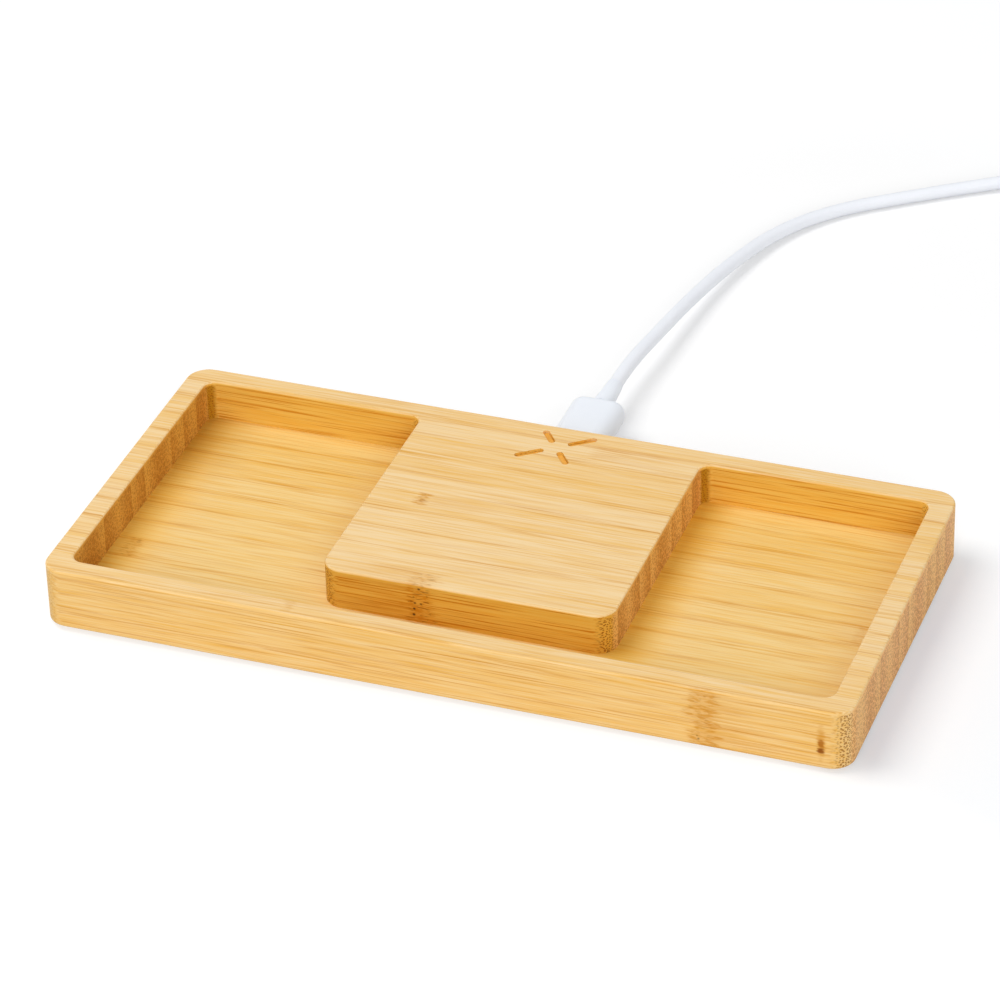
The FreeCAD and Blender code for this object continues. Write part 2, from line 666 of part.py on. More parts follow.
def make_cable_tie():
    """Flat band round the bundle of turns, square to them."""
    offset = (lay_start - math.radians(TIE_ANGLE)) / (2 * math.pi) % 1
    passes = [offset + index for index in range(int(2 * layer_turns - offset) + 1)]
    radii = [lay_outer - lay_pitch * min(turns, 2 * layer_turns - turns) for turns in passes]
    inner_turn = math.sqrt(min(radii) ** 2 - (TIE_WIDTH / 2) ** 2)
    near = inner_turn - CABLE_DIAMETER / 2 - TIE_CLEARANCE
    far = max(radii) + CABLE_DIAMETER / 2 + TIE_CLEARANCE
    low = TIE_THICKNESS
    high = low + 2 * TIE_CLEARANCE + CABLE_DIAMETER + lay_pitch
    middle = (near + far) / 2
    outer = bar_along_y(
        far - near + 2 * TIE_THICKNESS,
        high - low + 2 * TIE_THICKNESS,
        TIE_CORNER + TIE_THICKNESS,
        -TIE_WIDTH / 2,
        TIE_WIDTH / 2,
        middle,
        (low + high) / 2,
    )
    hole = bar_along_y(far - near, high - low, TIE_CORNER, -TIE_WIDTH / 2, TIE_WIDTH / 2, middle, (low + high) / 2)
    tie = outer.cut(hole)
    tie.rotate(vector(0, 0), vector(0, 0, 1), TIE_ANGLE)
    tie.translate(vector(*LAY_CENTRE))
    return tie


def run_points():
    """The cable's free stretch, from the strain relief down to the table and on to the coil."""
    coil_start = lay_ends()[0]
    heading = lay_point(0)[1]
    return [
        vector(0, relief_end, port_axis),
        vector(0, relief_end + EXIT_RUN, port_axis),
        vector(1.5, 96.2, 6.1),
        vector(3.2, 115.2, 4.6),
        vector(6.2, 135.6, 3.1),
        vector(12.0, 156.2, 2.1),
        vector(21.9, 170.8, 1.6),
        vector(36.2, 181.6, 1.6),
        vector(51.2, 192.1, 1.6),
        coil_start - heading * COIL_RUN,
        coil_start,
    ]


def tail_points():
    """The short end from the coil down to the far plug, which lies on the table."""
    start = lay_ends()[1]
    heading = lay_point(2 * layer_turns)[1]
    drop = vector(0, 0, OVERMOULD_A_HEIGHT / 2 - start.z)
    return [
        start,
        start + heading * TAIL_RUN,
        start + heading * (TAIL_LENGTH - TAIL_RUN) + drop,
        start + heading * TAIL_LENGTH + drop,
    ]


def plug_a_place(shape):
    """Stand a plug modelled along +Y from the origin at the end of the cable's tail."""
    end = tail_points()[-1]
    shape.rotate(vector(0, 0), vector(0, 0, 1), LAY_DEPARTURE - 90)
    shape.translate(end)
    return shape


def make_plug_a_strain_relief():
    relief = Part.makeCone(RELIEF_A_TIP / 2, RELIEF_A_ROOT / 2, RELIEF_A_LENGTH, vector(0, 0), vector(0, 1))
    return plug_a_place(relief)


def make_plug_a_overmould():
    back, front = RELIEF_A_LENGTH, RELIEF_A_LENGTH + OVERMOULD_A_LENGTH
    body = bar_along_y(OVERMOULD_A_WIDTH, OVERMOULD_A_HEIGHT, OVERMOULD_A_CORNER, back, front, 0, 0)
    return plug_a_place(body.makeFillet(OVERMOULD_A_ROUND, edges_at(body, "Y", back)))


def plug_a_box(width, bottom, top, start, end):
    return Part.makeBox(width, end - start, top - bottom, vector(-width / 2, start, bottom))


def make_plug_a_shell():
    start = RELIEF_A_LENGTH + OVERMOULD_A_LENGTH
    end = start + PLUG_A_LENGTH
    half = PLUG_A_HEIGHT / 2
    outer = plug_a_box(PLUG_A_WIDTH, -half, half, start, end)
    inside = plug_a_box(PLUG_A_WIDTH - 2 * PLUG_A_WALL, PLUG_A_WALL - half, half - PLUG_A_WALL, start, end)
    return plug_a_place(outer.cut(inside))


def make_plug_a_insert():
    start = RELIEF_A_LENGTH + OVERMOULD_A_LENGTH
    end = start + PLUG_A_LENGTH - PLUG_A_TONGUE_SETBACK
    bottom = PLUG_A_WALL - PLUG_A_HEIGHT / 2
    width = PLUG_A_WIDTH - 2 * PLUG_A_WALL
    return plug_a_place(plug_a_box(width, bottom, bottom + PLUG_A_TONGUE, start, end))


def make_parts():
    parts = {
        "tray_body": make_tray_body(),
        "light_guide": make_light_guide(),
        "bottom_cover": make_bottom_cover(),
        "cover_screws": make_cover_screws(),
        "coil_adhesive": make_coil_adhesive(),
        "transmitter_coil": make_transmitter_coil(),
        "ferrite_shield": make_ferrite_shield(),
        "coil_thermistor": make_coil_thermistor(),
        "circuit_board": make_circuit_board(),
        "board_screws": make_board_screws(),
        "controller_chip": make_chips(**CONTROLLER_CHIP),
        "bridge_transistors": make_chips(**BRIDGE_TRANSISTORS),
        "resonant_capacitors": make_chips(**RESONANT_CAPACITORS),
        "input_capacitors": make_chips(**INPUT_CAPACITORS),
        "sense_resistor": make_chips(**SENSE_RESISTOR),
        "indicator_led": make_indicator_led(),
        "usb_receptacle_shell": make_usb_receptacle_shell(),
        "usb_receptacle_tongue": make_usb_receptacle_tongue(),
        "plug_c_shell": make_plug_c_shell(),
        "plug_c_insert": make_plug_c_insert(),
        "plug_c_overmould": make_plug_c_overmould(),
        "plug_c_strain_relief": make_plug_c_strain_relief(),
        "cable_run": tube(routed(run_points(), "cable_run"), CABLE_DIAMETER, "cable_run"),
        "cable_coil": make_cable_coil(),
        "cable_tail": tube(routed(tail_points(), "cable_tail"), CABLE_DIAMETER, "cable_tail"),
        "cable_tie": make_cable_tie(),
        "plug_a_strain_relief": make_plug_a_strain_relief(),
        "plug_a_overmould": make_plug_a_overmould(),
        "plug_a_shell": make_plug_a_shell(),
        "plug_a_insert": make_plug_a_insert(),
    }
    foot_top = wood_bottom + FOOT_RECESS
    for name, (x, y) in foot_places().items():
        parts[name] = disc(x, y, FOOT_DIAMETER, 0, foot_top)
    return parts


os.makedirs("parts", exist_ok=True)
for node, shape in make_parts().items():
    shape.exportStep(f"parts/{node}.step")
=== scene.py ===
"""Dress the charging station organizer: a bamboo tray with a charging pad, its works, and the cable that feeds it.

Lengths are in metres in the CAD model's frame. Grain, weave and moulding marks are worked out in millimetres.
"""

import json
import logging
import math
from dataclasses import dataclass
from enum import Enum
from typing import Dict, List, Mapping, Sequence, Tuple, Union

import bmesh
import bpy
from mathutils import Matrix, Vector


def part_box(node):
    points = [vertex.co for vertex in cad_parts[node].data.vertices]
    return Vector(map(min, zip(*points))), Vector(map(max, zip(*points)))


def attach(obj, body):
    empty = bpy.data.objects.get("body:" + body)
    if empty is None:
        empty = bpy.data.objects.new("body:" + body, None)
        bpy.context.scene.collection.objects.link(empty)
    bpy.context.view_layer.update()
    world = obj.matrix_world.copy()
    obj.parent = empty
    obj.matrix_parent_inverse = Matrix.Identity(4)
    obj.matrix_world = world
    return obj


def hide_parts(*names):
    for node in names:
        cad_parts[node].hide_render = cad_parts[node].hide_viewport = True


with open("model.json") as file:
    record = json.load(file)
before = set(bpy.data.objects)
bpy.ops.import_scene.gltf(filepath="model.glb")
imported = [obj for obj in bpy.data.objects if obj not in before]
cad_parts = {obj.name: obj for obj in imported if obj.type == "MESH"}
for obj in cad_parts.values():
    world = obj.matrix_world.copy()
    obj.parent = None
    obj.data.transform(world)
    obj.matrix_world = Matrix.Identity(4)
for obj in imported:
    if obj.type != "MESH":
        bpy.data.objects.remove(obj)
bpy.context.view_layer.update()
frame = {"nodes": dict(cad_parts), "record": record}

LOG = logging.getLogger("organizer")
MM = 0.001
MM_PER_METRE = 1000.0

Socket = bpy.types.NodeSocket
Pair = Tuple[float, float]
Point = Tuple[float, float, float]
Colour = Tuple[float, float, float]
Feed = Union[float, Sequence[float], Socket, "Field"]
Feeds = Mapping[Union[str, int], Feed]

WHITE: Colour = (1.0, 1.0, 1.0)
# The level that noise varies around, and the levels that it mostly stays between
NOISE_MIDDLE = 0.5
NOISE_SPREAD: Pair = (0.3, 0.7)
# The sockets that a Mix node uses for colours
MIX_SHARE, MIX_FIRST, MIX_SECOND, MIX_RESULT = 0, 6, 7, 2


class Body(Enum):
    """The bodies that pieces ride on."""

    TRAY = "tray"
    CABLE = "cable"


class Effect(Enum):
    """The shared surface effects, by the name of their node group."""

    STRIPS = "bamboo_strips"
    FIBRES = "bamboo_fibres"
    KNUCKLE = "bamboo_knuckle"
    SPECKLE = "surface_speckle"
    DRAWN = "drawn_lines"


class Field:
    """A number, vector or colour that varies over a surface. Sums on it add Math nodes to its tree."""

    def __init__(self, graph: "Graph", socket: Socket) -> None:
        """Keep the calls of the field's tree, and the socket that gives it."""
        self.graph, self.socket = graph, socket

    def __add__(self, other: Feed) -> "Field":
        """Add a number."""
        return self.graph.math("ADD", self, other)

    def __sub__(self, other: Feed) -> "Field":
        """Take a number away."""
        return self.graph.math("SUBTRACT", self, other)

    def __rsub__(self, other: Feed) -> "Field":
        """Take the field away from a number."""
        return self.graph.math("SUBTRACT", other, self)

    def __mul__(self, other: Feed) -> "Field":
        """Multiply by a number."""
        return self.graph.math("MULTIPLY", self, other)

    def __truediv__(self, other: Feed) -> "Field":
        """Divide by a number."""
        return self.graph.math("DIVIDE", self, other)

    def __gt__(self, other: Feed) -> "Field":
        """Give 1 where the field is greater than a number."""
        return self.graph.math("GREATER_THAN", self, other)

    def __lt__(self, other: Feed) -> "Field":
        """Give 1 where the field is less than a number."""
        return self.graph.math("LESS_THAN", self, other)

    def __abs__(self) -> "Field":
        """Drop the sign."""
        return self.graph.math("ABSOLUTE", self)

    def clamped(self) -> "Field":
        """Keep the field between 0 and 1."""
        return self.graph.math("ADD", self, 0.0, clamp=True)

    def swing(self, reach: Feed) -> "Field":
        """Turn noise into a swing to both sides of 0."""
        return (self - NOISE_MIDDLE) * reach

    def rise(self, low: Feed, high: Feed, start: Feed = 0.0, end: Feed = 1.0) -> "Field":
        """Step smoothly from a start level to an end level as the field goes from low to high."""
        feeds = {"Value": self, "From Min": low, "From Max": high, "To Min": start, "To Max": end}
        return self.graph.take("Result", "ShaderNodeMapRange", feeds, interpolation_type="SMOOTHSTEP")

    def fall(self, low: Feed, high: Feed) -> "Field":
        """Step smoothly from 1 to 0 as the field goes from low to high."""
        return self.rise(low, high, 1.0, 0.0)

    def bump(self, strength: float, depth: float) -> "Field":
        """Turn a height, of which 1 is the depth in metres, into a normal."""
        return self.graph.take(0, "ShaderNodeBump", {"Height": self, "Strength": strength, "Distance": depth})


class Graph:
    """Short calls that add nodes to a node tree and join their sockets."""

    def __init__(self, tree: bpy.types.NodeTree) -> None:
        """Keep the tree that the calls add to."""
        self.tree = tree

    def add(self, kind: str, feeds: Feeds, **settings: object) -> bpy.types.Node:
        """Add a node.

        Args:
            kind: the node's type.
            feeds: a value, field or socket for each input that isn't left at its default.
            settings: properties of the node.

        Returns:
            The new node.
        """
        node = self.tree.nodes.new(kind)
        for key, value in settings.items():
            setattr(node, key, value)
        for key, value in feeds.items():
            source = value.socket if isinstance(value, Field) else value
            if isinstance(source, Socket):
                self.tree.links.new(source, node.inputs[key])
            else:
                node.inputs[key].default_value = source
        return node

    def take(self, output: Union[str, int], kind: str, feeds: Feeds, **settings: object) -> Field:
        """Add a node and give one of its outputs."""
        return Field(self, self.add(kind, feeds, **settings).outputs[output])

    def named(self, kind: str, feeds: Feeds, **settings: object) -> Dict[str, Field]:
        """Add a node and give all its outputs by name."""
        return {socket.name: Field(self, socket) for socket in self.add(kind, feeds, **settings).outputs}

    def math(self, operation: str, *values: Feed, clamp: bool = False) -> Field:
        """Work out one number with a Math node."""
        return self.take(0, "ShaderNodeMath", dict(enumerate(values)), operation=operation, use_clamp=clamp)

    def mix(self, share: Feed, first: Feed, second: Feed, blend: str = "MIX") -> Field:
        """Mix two colours, by a share of the second one."""
        feeds = {MIX_SHARE: share, MIX_FIRST: opaque(first), MIX_SECOND: opaque(second)}
        return self.take(MIX_RESULT, "ShaderNodeMix", feeds, data_type="RGBA", blend_type=blend, clamp_factor=True)

    def mix_shaders(self, share: Feed, first: Feed, second: Feed) -> Field:
        """Mix two shaders, by a share of the second one."""
        return self.take(0, "ShaderNodeMixShader", {0: share, 1: first, 2: second})

    def split(self, vector: Feed) -> List[Field]:
        """Give a vector's three parts."""
        return list(self.named("ShaderNodeSeparateXYZ", {0: vector}).values())

    def place_mm(self) -> List[Field]:
        """Give the place on the object along X, Y and Z, in millimetres."""
        place = self.take("Object", "ShaderNodeTexCoord", {})
        return self.split(self.take(0, "ShaderNodeVectorMath", {0: place, "Scale": MM_PER_METRE}, operation="SCALE"))

    def stretched(self, place: Sequence[Field], sizes: Sequence[Feed]) -> Field:
        """Divide a place by a pattern's size along each axis."""
        parts = {axis: at / size for axis, (at, size) in enumerate(zip(place, sizes))}
        return self.take(0, "ShaderNodeCombineXYZ", parts)

    def noise(
        self, place: Sequence[Field], sizes: Sequence[Feed], detail: float = 2.0, roughness: float = 0.5
    ) -> Field:
        """Give smooth noise, with clouds of about the given size along each axis."""
        feeds = {"Vector": self.stretched(place, sizes), "Scale": 1.0, "Detail": detail, "Roughness": roughness}
        return self.take(0, "ShaderNodeTexNoise", feeds)

    def cells(
        self, place: Sequence[Field], sizes: Sequence[Feed], randomness: float = 1.0, **settings: object
    ) -> Dict[str, Field]:
        """Give a pattern of cells of about the given size along each axis."""
        feeds = {"Vector": self.stretched(place, sizes), "Scale": 1.0, "Randomness": randomness}
        return self.named("ShaderNodeTexVoronoi", feeds, **settings)

    def effect(self, effect: Effect, **values: Feed) -> Dict[str, Field]:
        """Place a shared group, with an underscore for each space in an input's name, and give its outputs."""
        feeds = {key.replace("_", " "): value for key, value in values.items()}
        return self.named("ShaderNodeGroup", feeds, node_tree=bpy.data.node_groups[effect.value])


def opaque(colour: Feed) -> Feed:
    """Add an alpha of 1 to a plain colour and leave a field as it is."""
    return colour if isinstance(colour, Field) else (*colour, 1.0)


def blank(owner: Union[bpy.types.Material, bpy.types.World]) -> Graph:
    """Empty the node tree of a material or a world.

    Args:
        owner: the material or world.

    Returns:
        Calls that add nodes to it.
    """
    owner.use_nodes = True
    owner.node_tree.nodes.clear()
    return Graph(owner.node_tree)


@dataclass(frozen=True)
class Grain:
    """About how large each pattern of the bamboo is along, across and up, in millimetres."""

    sway: Point = (60.0, 400.0, 40.0)
    seam_gaps: Point = (26.0, 1.0, 12.0)
    seam_edge: Point = (9.0, 0.5, 0.6)
    lines: Point = (24.0, 0.5, 0.34)
    fine: Point = (14.0, 0.44, 0.3)
    streak: Point = (42.0, 1.6, 1.8)
    stray: Point = (60.0, 0.6, 0.6)
    jag: Point = (7.0, 0.5, 0.6)
    mottle: Point = (1.8, 0.5, 0.5)
    dash: Point = (1.7, 0.4, 0.4)
    tail: Point = (16.0, 0.5, 0.5)
    pits: Point = (1.5, 1.3, 1.3)


@dataclass(frozen=True)
class Effects:
    """The shared node groups, each built once and placed in materials with its own values."""

    grain: Grain = Grain()
    seam_row: float = 7.3
    seam_blur: float = 0.15
    seam_ragged: float = 0.8
    seam_width: Pair = (0.0, 0.42)
    seam_near: Pair = (0.2, 2.4)
    seam_shows: Pair = (0.38, 0.66)
    seam_least: float = 0.1
    strip_shift: float = 613.0
    strip_lift: float = 0.37
    dot_scatter: float = 0.85
    dot_size: float = 0.14
    dot_growth: float = 0.15
    dot_blur: float = 0.18
    line_levels: Pair = (0.52, 0.66)
    stray_levels: Pair = (0.64, 0.73)
    jag_reach: float = 3.0
    stain_edge: Pair = (0.35, 1.1)
    mottle_levels: Pair = (0.4, 0.66)
    mottle_least: float = 0.35
    fleck_levels: Pair = (0.58, 0.68)
    tail_start: Pair = (0.0, 0.12)
    tail_end: Pair = (0.15, 1.0)
    tail_levels: Pair = (0.38, 0.66)
    pit_share: float = 0.6
    pit_size: Pair = (0.12, 0.3)
    pit_reach: Pair = (0.5, 0.8)

    def build(self) -> None:
        """Build every group."""
        for build in (self.build_strips, self.build_fibres, self.build_knuckle, self.build_speckle, self.build_drawn):
            build()

    def begin(
        self, effect: Effect, inputs: Mapping[str, float], outputs: Sequence[str]
    ) -> Tuple[Graph, Dict[str, Field]]:
        """Start a group.

        Args:
            effect: which group.
            inputs: its inputs and their usual values.
            outputs: its outputs.

        Returns:
            Calls that add nodes to the group, and its inputs by name.
        """
        tree = bpy.data.node_groups.new(effect.value, "ShaderNodeTree")
        for label, value in inputs.items():
            tree.interface.new_socket(label, in_out="INPUT", socket_type="NodeSocketFloat").default_value = value
        for label in outputs:
            tree.interface.new_socket(label, in_out="OUTPUT", socket_type="NodeSocketFloat")
        graph = Graph(tree)
        return graph, graph.named("NodeGroupInput", {})

    def build_strips(self) -> None:
        """Lay glued strips side by side across Y: a tone for each, its skin side, and the seams."""
        inputs = {"Width": 7.05, "First Seam": 1.45, "Wander": 0.25}
        graph, value = self.begin(Effect.STRIPS, inputs, ("Tone", "Skin", "Near", "Seam"))
        x, y, z = graph.place_mm()
        sway = graph.noise((x, y, z), self.grain.sway).swing(value["Wander"])
        across = (sway + y - value["First Seam"]) / value["Width"]
        lot = graph.named("ShaderNodeTexWhiteNoise", {"W": graph.math("FLOOR", across)}, noise_dimensions="1D")
        turned = graph.take("Green", "ShaderNodeSeparateColor", {0: lot["Color"]}) > NOISE_MIDDLE
        part = graph.math("FRACT", across)
        other = 1.0 - part
        from_seam = graph.math("MINIMUM", part, other) * value["Width"]
        row = graph.math("ROUND", across) * self.seam_row
        shows = graph.noise((x, row, z), self.grain.seam_gaps).rise(*self.seam_shows, self.seam_least)
        ragged = graph.noise((x, y, z), self.grain.seam_edge).swing(self.seam_ragged) + from_seam
        graph.add("NodeGroupOutput", {
            "Tone": lot["Value"],
            "Skin": part + turned * (other - part),
            "Near": from_seam.fall(*self.seam_near),
            "Seam": ragged.fall(*self.seam_width) * shows,
        })

    def build_fibres(self) -> None:
        """Run fibres along X: bundles that end as dots, dark lines, fine lines, broad streaks and stray lines."""
        inputs = {"Strip": 0.5, "Skin": 0.5, "Bundle Spacing": 0.45}
        graph, value = self.begin(Effect.FIBRES, inputs, ("Ends", "Lines", "Fine", "Streak", "Stray"))
        x, y, z = graph.place_mm()
        shift = value["Strip"] * self.strip_shift
        up = shift * self.strip_lift + z
        place, spacing = (x + shift, y, up), value["Bundle Spacing"]
        far = graph.cells((y, up), (spacing, spacing), self.dot_scatter, voronoi_dimensions="2D")["Distance"]
        limit = value["Skin"] * self.dot_growth + self.dot_size
        graph.add("NodeGroupOutput", {
            "Ends": far.fall(limit, limit + self.dot_blur),
            "Lines": graph.noise(place, self.grain.lines, 2.0, 0.55).rise(*self.line_levels),
            "Fine": graph.noise(place, self.grain.fine, 1.5, 0.6),
            "Streak": graph.noise(place, self.grain.streak),
            "Stray": graph.noise(place, self.grain.stray, 1.0).rise(*self.stray_levels),
        })

    def build_knuckle(self) -> None:
        """Cross one strip with a knuckle of the cane: a jagged stain, dark flecks, pits, and streaks to one side."""
        inputs = {"Centre": 0.0, "Low": 0.0, "High": 7.0, "Reach": 3.0, "Tail": 12.0, "Tail Strength": 0.3}
        graph, value = self.begin(Effect.KNUCKLE, inputs, ("Stain", "Flecks", "Pits"))
        place = x, y, _ = graph.place_mm()
        reach, blur = value["Reach"], (-self.seam_blur, self.seam_blur)
        off = x - value["Centre"]
        spike = graph.noise(place, self.grain.jag, 2.0, 0.6).swing(reach) * self.jag_reach
        strip = (y - value["Low"]).rise(*blur) * (value["High"] - y).rise(*blur)
        band = strip * (abs(off + spike) / reach).fall(*self.stain_edge)
        mottle = graph.noise(place, self.grain.mottle, 2.0, 0.6).rise(*self.mottle_levels, self.mottle_least)
        along = off / value["Tail"]
        fade = along.rise(*self.tail_start) * along.fall(*self.tail_end) * strip
        tail = fade * graph.noise(place, self.grain.tail, 2.0, 0.6).rise(*self.tail_levels) * value["Tail Strength"]
        cell = graph.cells(place, self.grain.pits)
        chosen = graph.take("Red", "ShaderNodeSeparateColor", {0: cell["Color"]}) > self.pit_share
        near = (abs(off) / reach).fall(*self.pit_reach)
        graph.add("NodeGroupOutput", {
            "Stain": (band * mottle + tail).clamped(),
            "Flecks": band * graph.noise(place, self.grain.dash, 1.0).rise(*self.fleck_levels),
            "Pits": cell["Distance"].fall(*self.pit_size) * chosen * near * strip,
        })

    def build_speckle(self) -> None:
        """Give a moulded or sintered surface fine grain and broad clouds."""
        graph, value = self.begin(Effect.SPECKLE, {"Grain Size": 0.3, "Cloud Size": 9.0}, ("Grain", "Cloud"))
        place = graph.place_mm()
        fields = {}
        for label, detail in (("Grain", 2.0), ("Cloud", 3.0)):
            fields[label] = graph.noise(place, [value[f"{label} Size"]] * len(place), detail, 0.6)
        graph.add("NodeGroupOutput", fields)

    def build_drawn(self) -> None:
        """Give drawn or brushed metal fine lines along Y."""
        graph, value = self.begin(Effect.DRAWN, {"Spacing": 0.12, "Length": 6.0}, ("Lines",))
        sizes = (value["Spacing"], value["Length"], value["Spacing"])
        graph.add("NodeGroupOutput", {"Lines": graph.noise(graph.place_mm(), sizes, 3.0, 0.65)})


class Finish:
    """One finish: a material with one Principled shader."""

    name: str

    def make(self) -> bpy.types.Material:
        """Build the material.

        Returns:
            The material.
        """
        material = bpy.data.materials.new(self.name)
        graph = blank(material)
        shader = graph.take(0, "ShaderNodeBsdfPrincipled", self.paint(graph))
        graph.add("ShaderNodeOutputMaterial", {"Surface": shader})
        return material

    def paint(self, graph: Graph) -> Dict[str, Feed]:
        """Give the shader's inputs, as each finish works them out."""
        raise NotImplementedError


@dataclass(frozen=True)
class Knuckle:
    """One knuckle of the cane, in the strip between two seams: places and sizes in millimetres."""

    centre: float
    low: float
    high: float
    reach: float
    on_wall: float
    on_top: float
    flecks: float
    pits: float
    tail: float
    tail_strength: float

    def draw(self, graph: Graph) -> Dict[str, Field]:
        """Give the masks of the knuckle's stain, flecks and pits."""
        return graph.effect(
            Effect.KNUCKLE,
            Centre=self.centre,
            Low=self.low,
            High=self.high,
            Reach=self.reach,
            Tail=self.tail,
            Tail_Strength=self.tail_strength,
        )


@dataclass(frozen=True)
class Scar:
    """One soft upright spot of the scar in the front wall: place and half sizes in millimetres, and its strength."""

    z: float
    half_width: float
    half_height: float
    share: float
    x: float = 80.2
    wall: float = -40.0
    ragged: float = 1.2
    blur: Pair = (0.35, 1.05)
    pattern: Point = (2.0, 9.0, 0.6)

    def draw(self, graph: Graph) -> Field:
        """Draw the spot.

        Args:
            graph: the material's calls.

        Returns:
            The spot's mask.
        """
        place = x, y, z = graph.place_mm()
        across, up = (x - self.x) / self.half_width, (z - self.z) / self.half_height
        off = graph.math("SQRT", across * across + up * up)
        edge = graph.noise(place, self.pattern).swing(self.ragged) + off
        return edge.fall(*self.blur) * (y < self.wall) * self.share


@dataclass(frozen=True)
class Places:
    """Where the tray's faces, and the shade painted on them, begin and end, in millimetres, and how far faces of a kind
    turn.
    """

    rim_x: Pair = (82.4, 83.8)
    rim_y: Pair = (38.0, 39.4)
    rim_top: Pair = (13.5, 13.9)
    floor_from: Pair = (3.0, 4.0)
    floor_to: Pair = (5.6, 6.6)
    fresh_end: Pair = (-86.0, -70.0)
    fresh_share: float = 0.3
    to_pad: Pair = (14.0, 31.4)
    off_pad: Pair = (31.4, 43.0)
    along_pad: Pair = (-34.0, -21.0)
    left_nook: Pair = (-82.0, -68.0)
    left_corner: Pair = (-82.0, -64.0)
    back_corner: Pair = (4.0, 29.0)
    back_floor: Pair = (15.0, 39.0)
    back_bends: float = 20.0
    left_end: float = -70.0
    pad_front: float = -18.0
    upright: Pair = (0.2, 0.7)
    lying: Pair = (0.5, 0.9)
    broad: Pair = (0.5, 0.95)
    cut: Pair = (0.12, 0.65)
    square: Pair = (0.84, 0.995)
    turned_right: Pair = (0.05, 0.45)


class Turns:
    """Masks of where the wood's surface turns and lies, and of where shade is painted on it."""

    def __init__(self, graph: Graph, at: Places) -> None:
        """Find the masks.

        Args:
            graph: the material's calls.
            at: where the faces are.
        """
        facing_x, facing_y, facing_z = graph.split(graph.take("Normal", "ShaderNodeTexCoord", {}))
        across, level = abs(facing_x), abs(facing_z)
        x, y, z = graph.place_mm()
        inside = abs(x).fall(*at.rim_x) * abs(y).fall(*at.rim_y)
        upright = level.fall(*at.upright)
        by_pad = x.rise(*at.to_pad) * x.fall(*at.off_pad) * y.rise(*at.along_pad)
        at_back = facing_x.rise(*at.turned_right) * (y > at.back_bends)
        self.lying = level.rise(*at.lying)
        self.wall = upright * z.fall(*at.rim_top)
        self.broad = abs(facing_y).rise(*at.broad)
        self.flank = self.broad * (1.0 - inside) * upright
        self.milled = inside * upright
        self.cut = across.rise(*at.cut) * self.wall
        self.square = across.rise(*at.square) * upright
        self.bend = self.cut * (1.0 - self.square)
        # mask of the rounded hollow corners at the back, where shade is painted
        self.hollow = self.bend * self.milled * at_back
        self.floor = inside * z.rise(*at.floor_from) * z.fall(*at.floor_to) * self.lying
        # mask of the floor by the left wall and beside the pad, where shade is painted
        self.nook = graph.math("MAXIMUM", x.fall(*at.left_nook), by_pad) * self.floor
        # mask of the back-left floor corner, where shade is painted
        self.corner = x.fall(*at.left_corner) * y.rise(*at.back_corner) * self.floor
        # mask of the floor towards the back wall, where shade is painted
        self.back = y.rise(*at.back_floor) * self.floor
        # mask of the left end, where shade is painted on the milled end wall
        self.left = x < at.left_end
        self.front = y < at.pad_front
        self.worn = graph.math("MAXIMUM", inside, x.rise(*at.fresh_end, at.fresh_share))


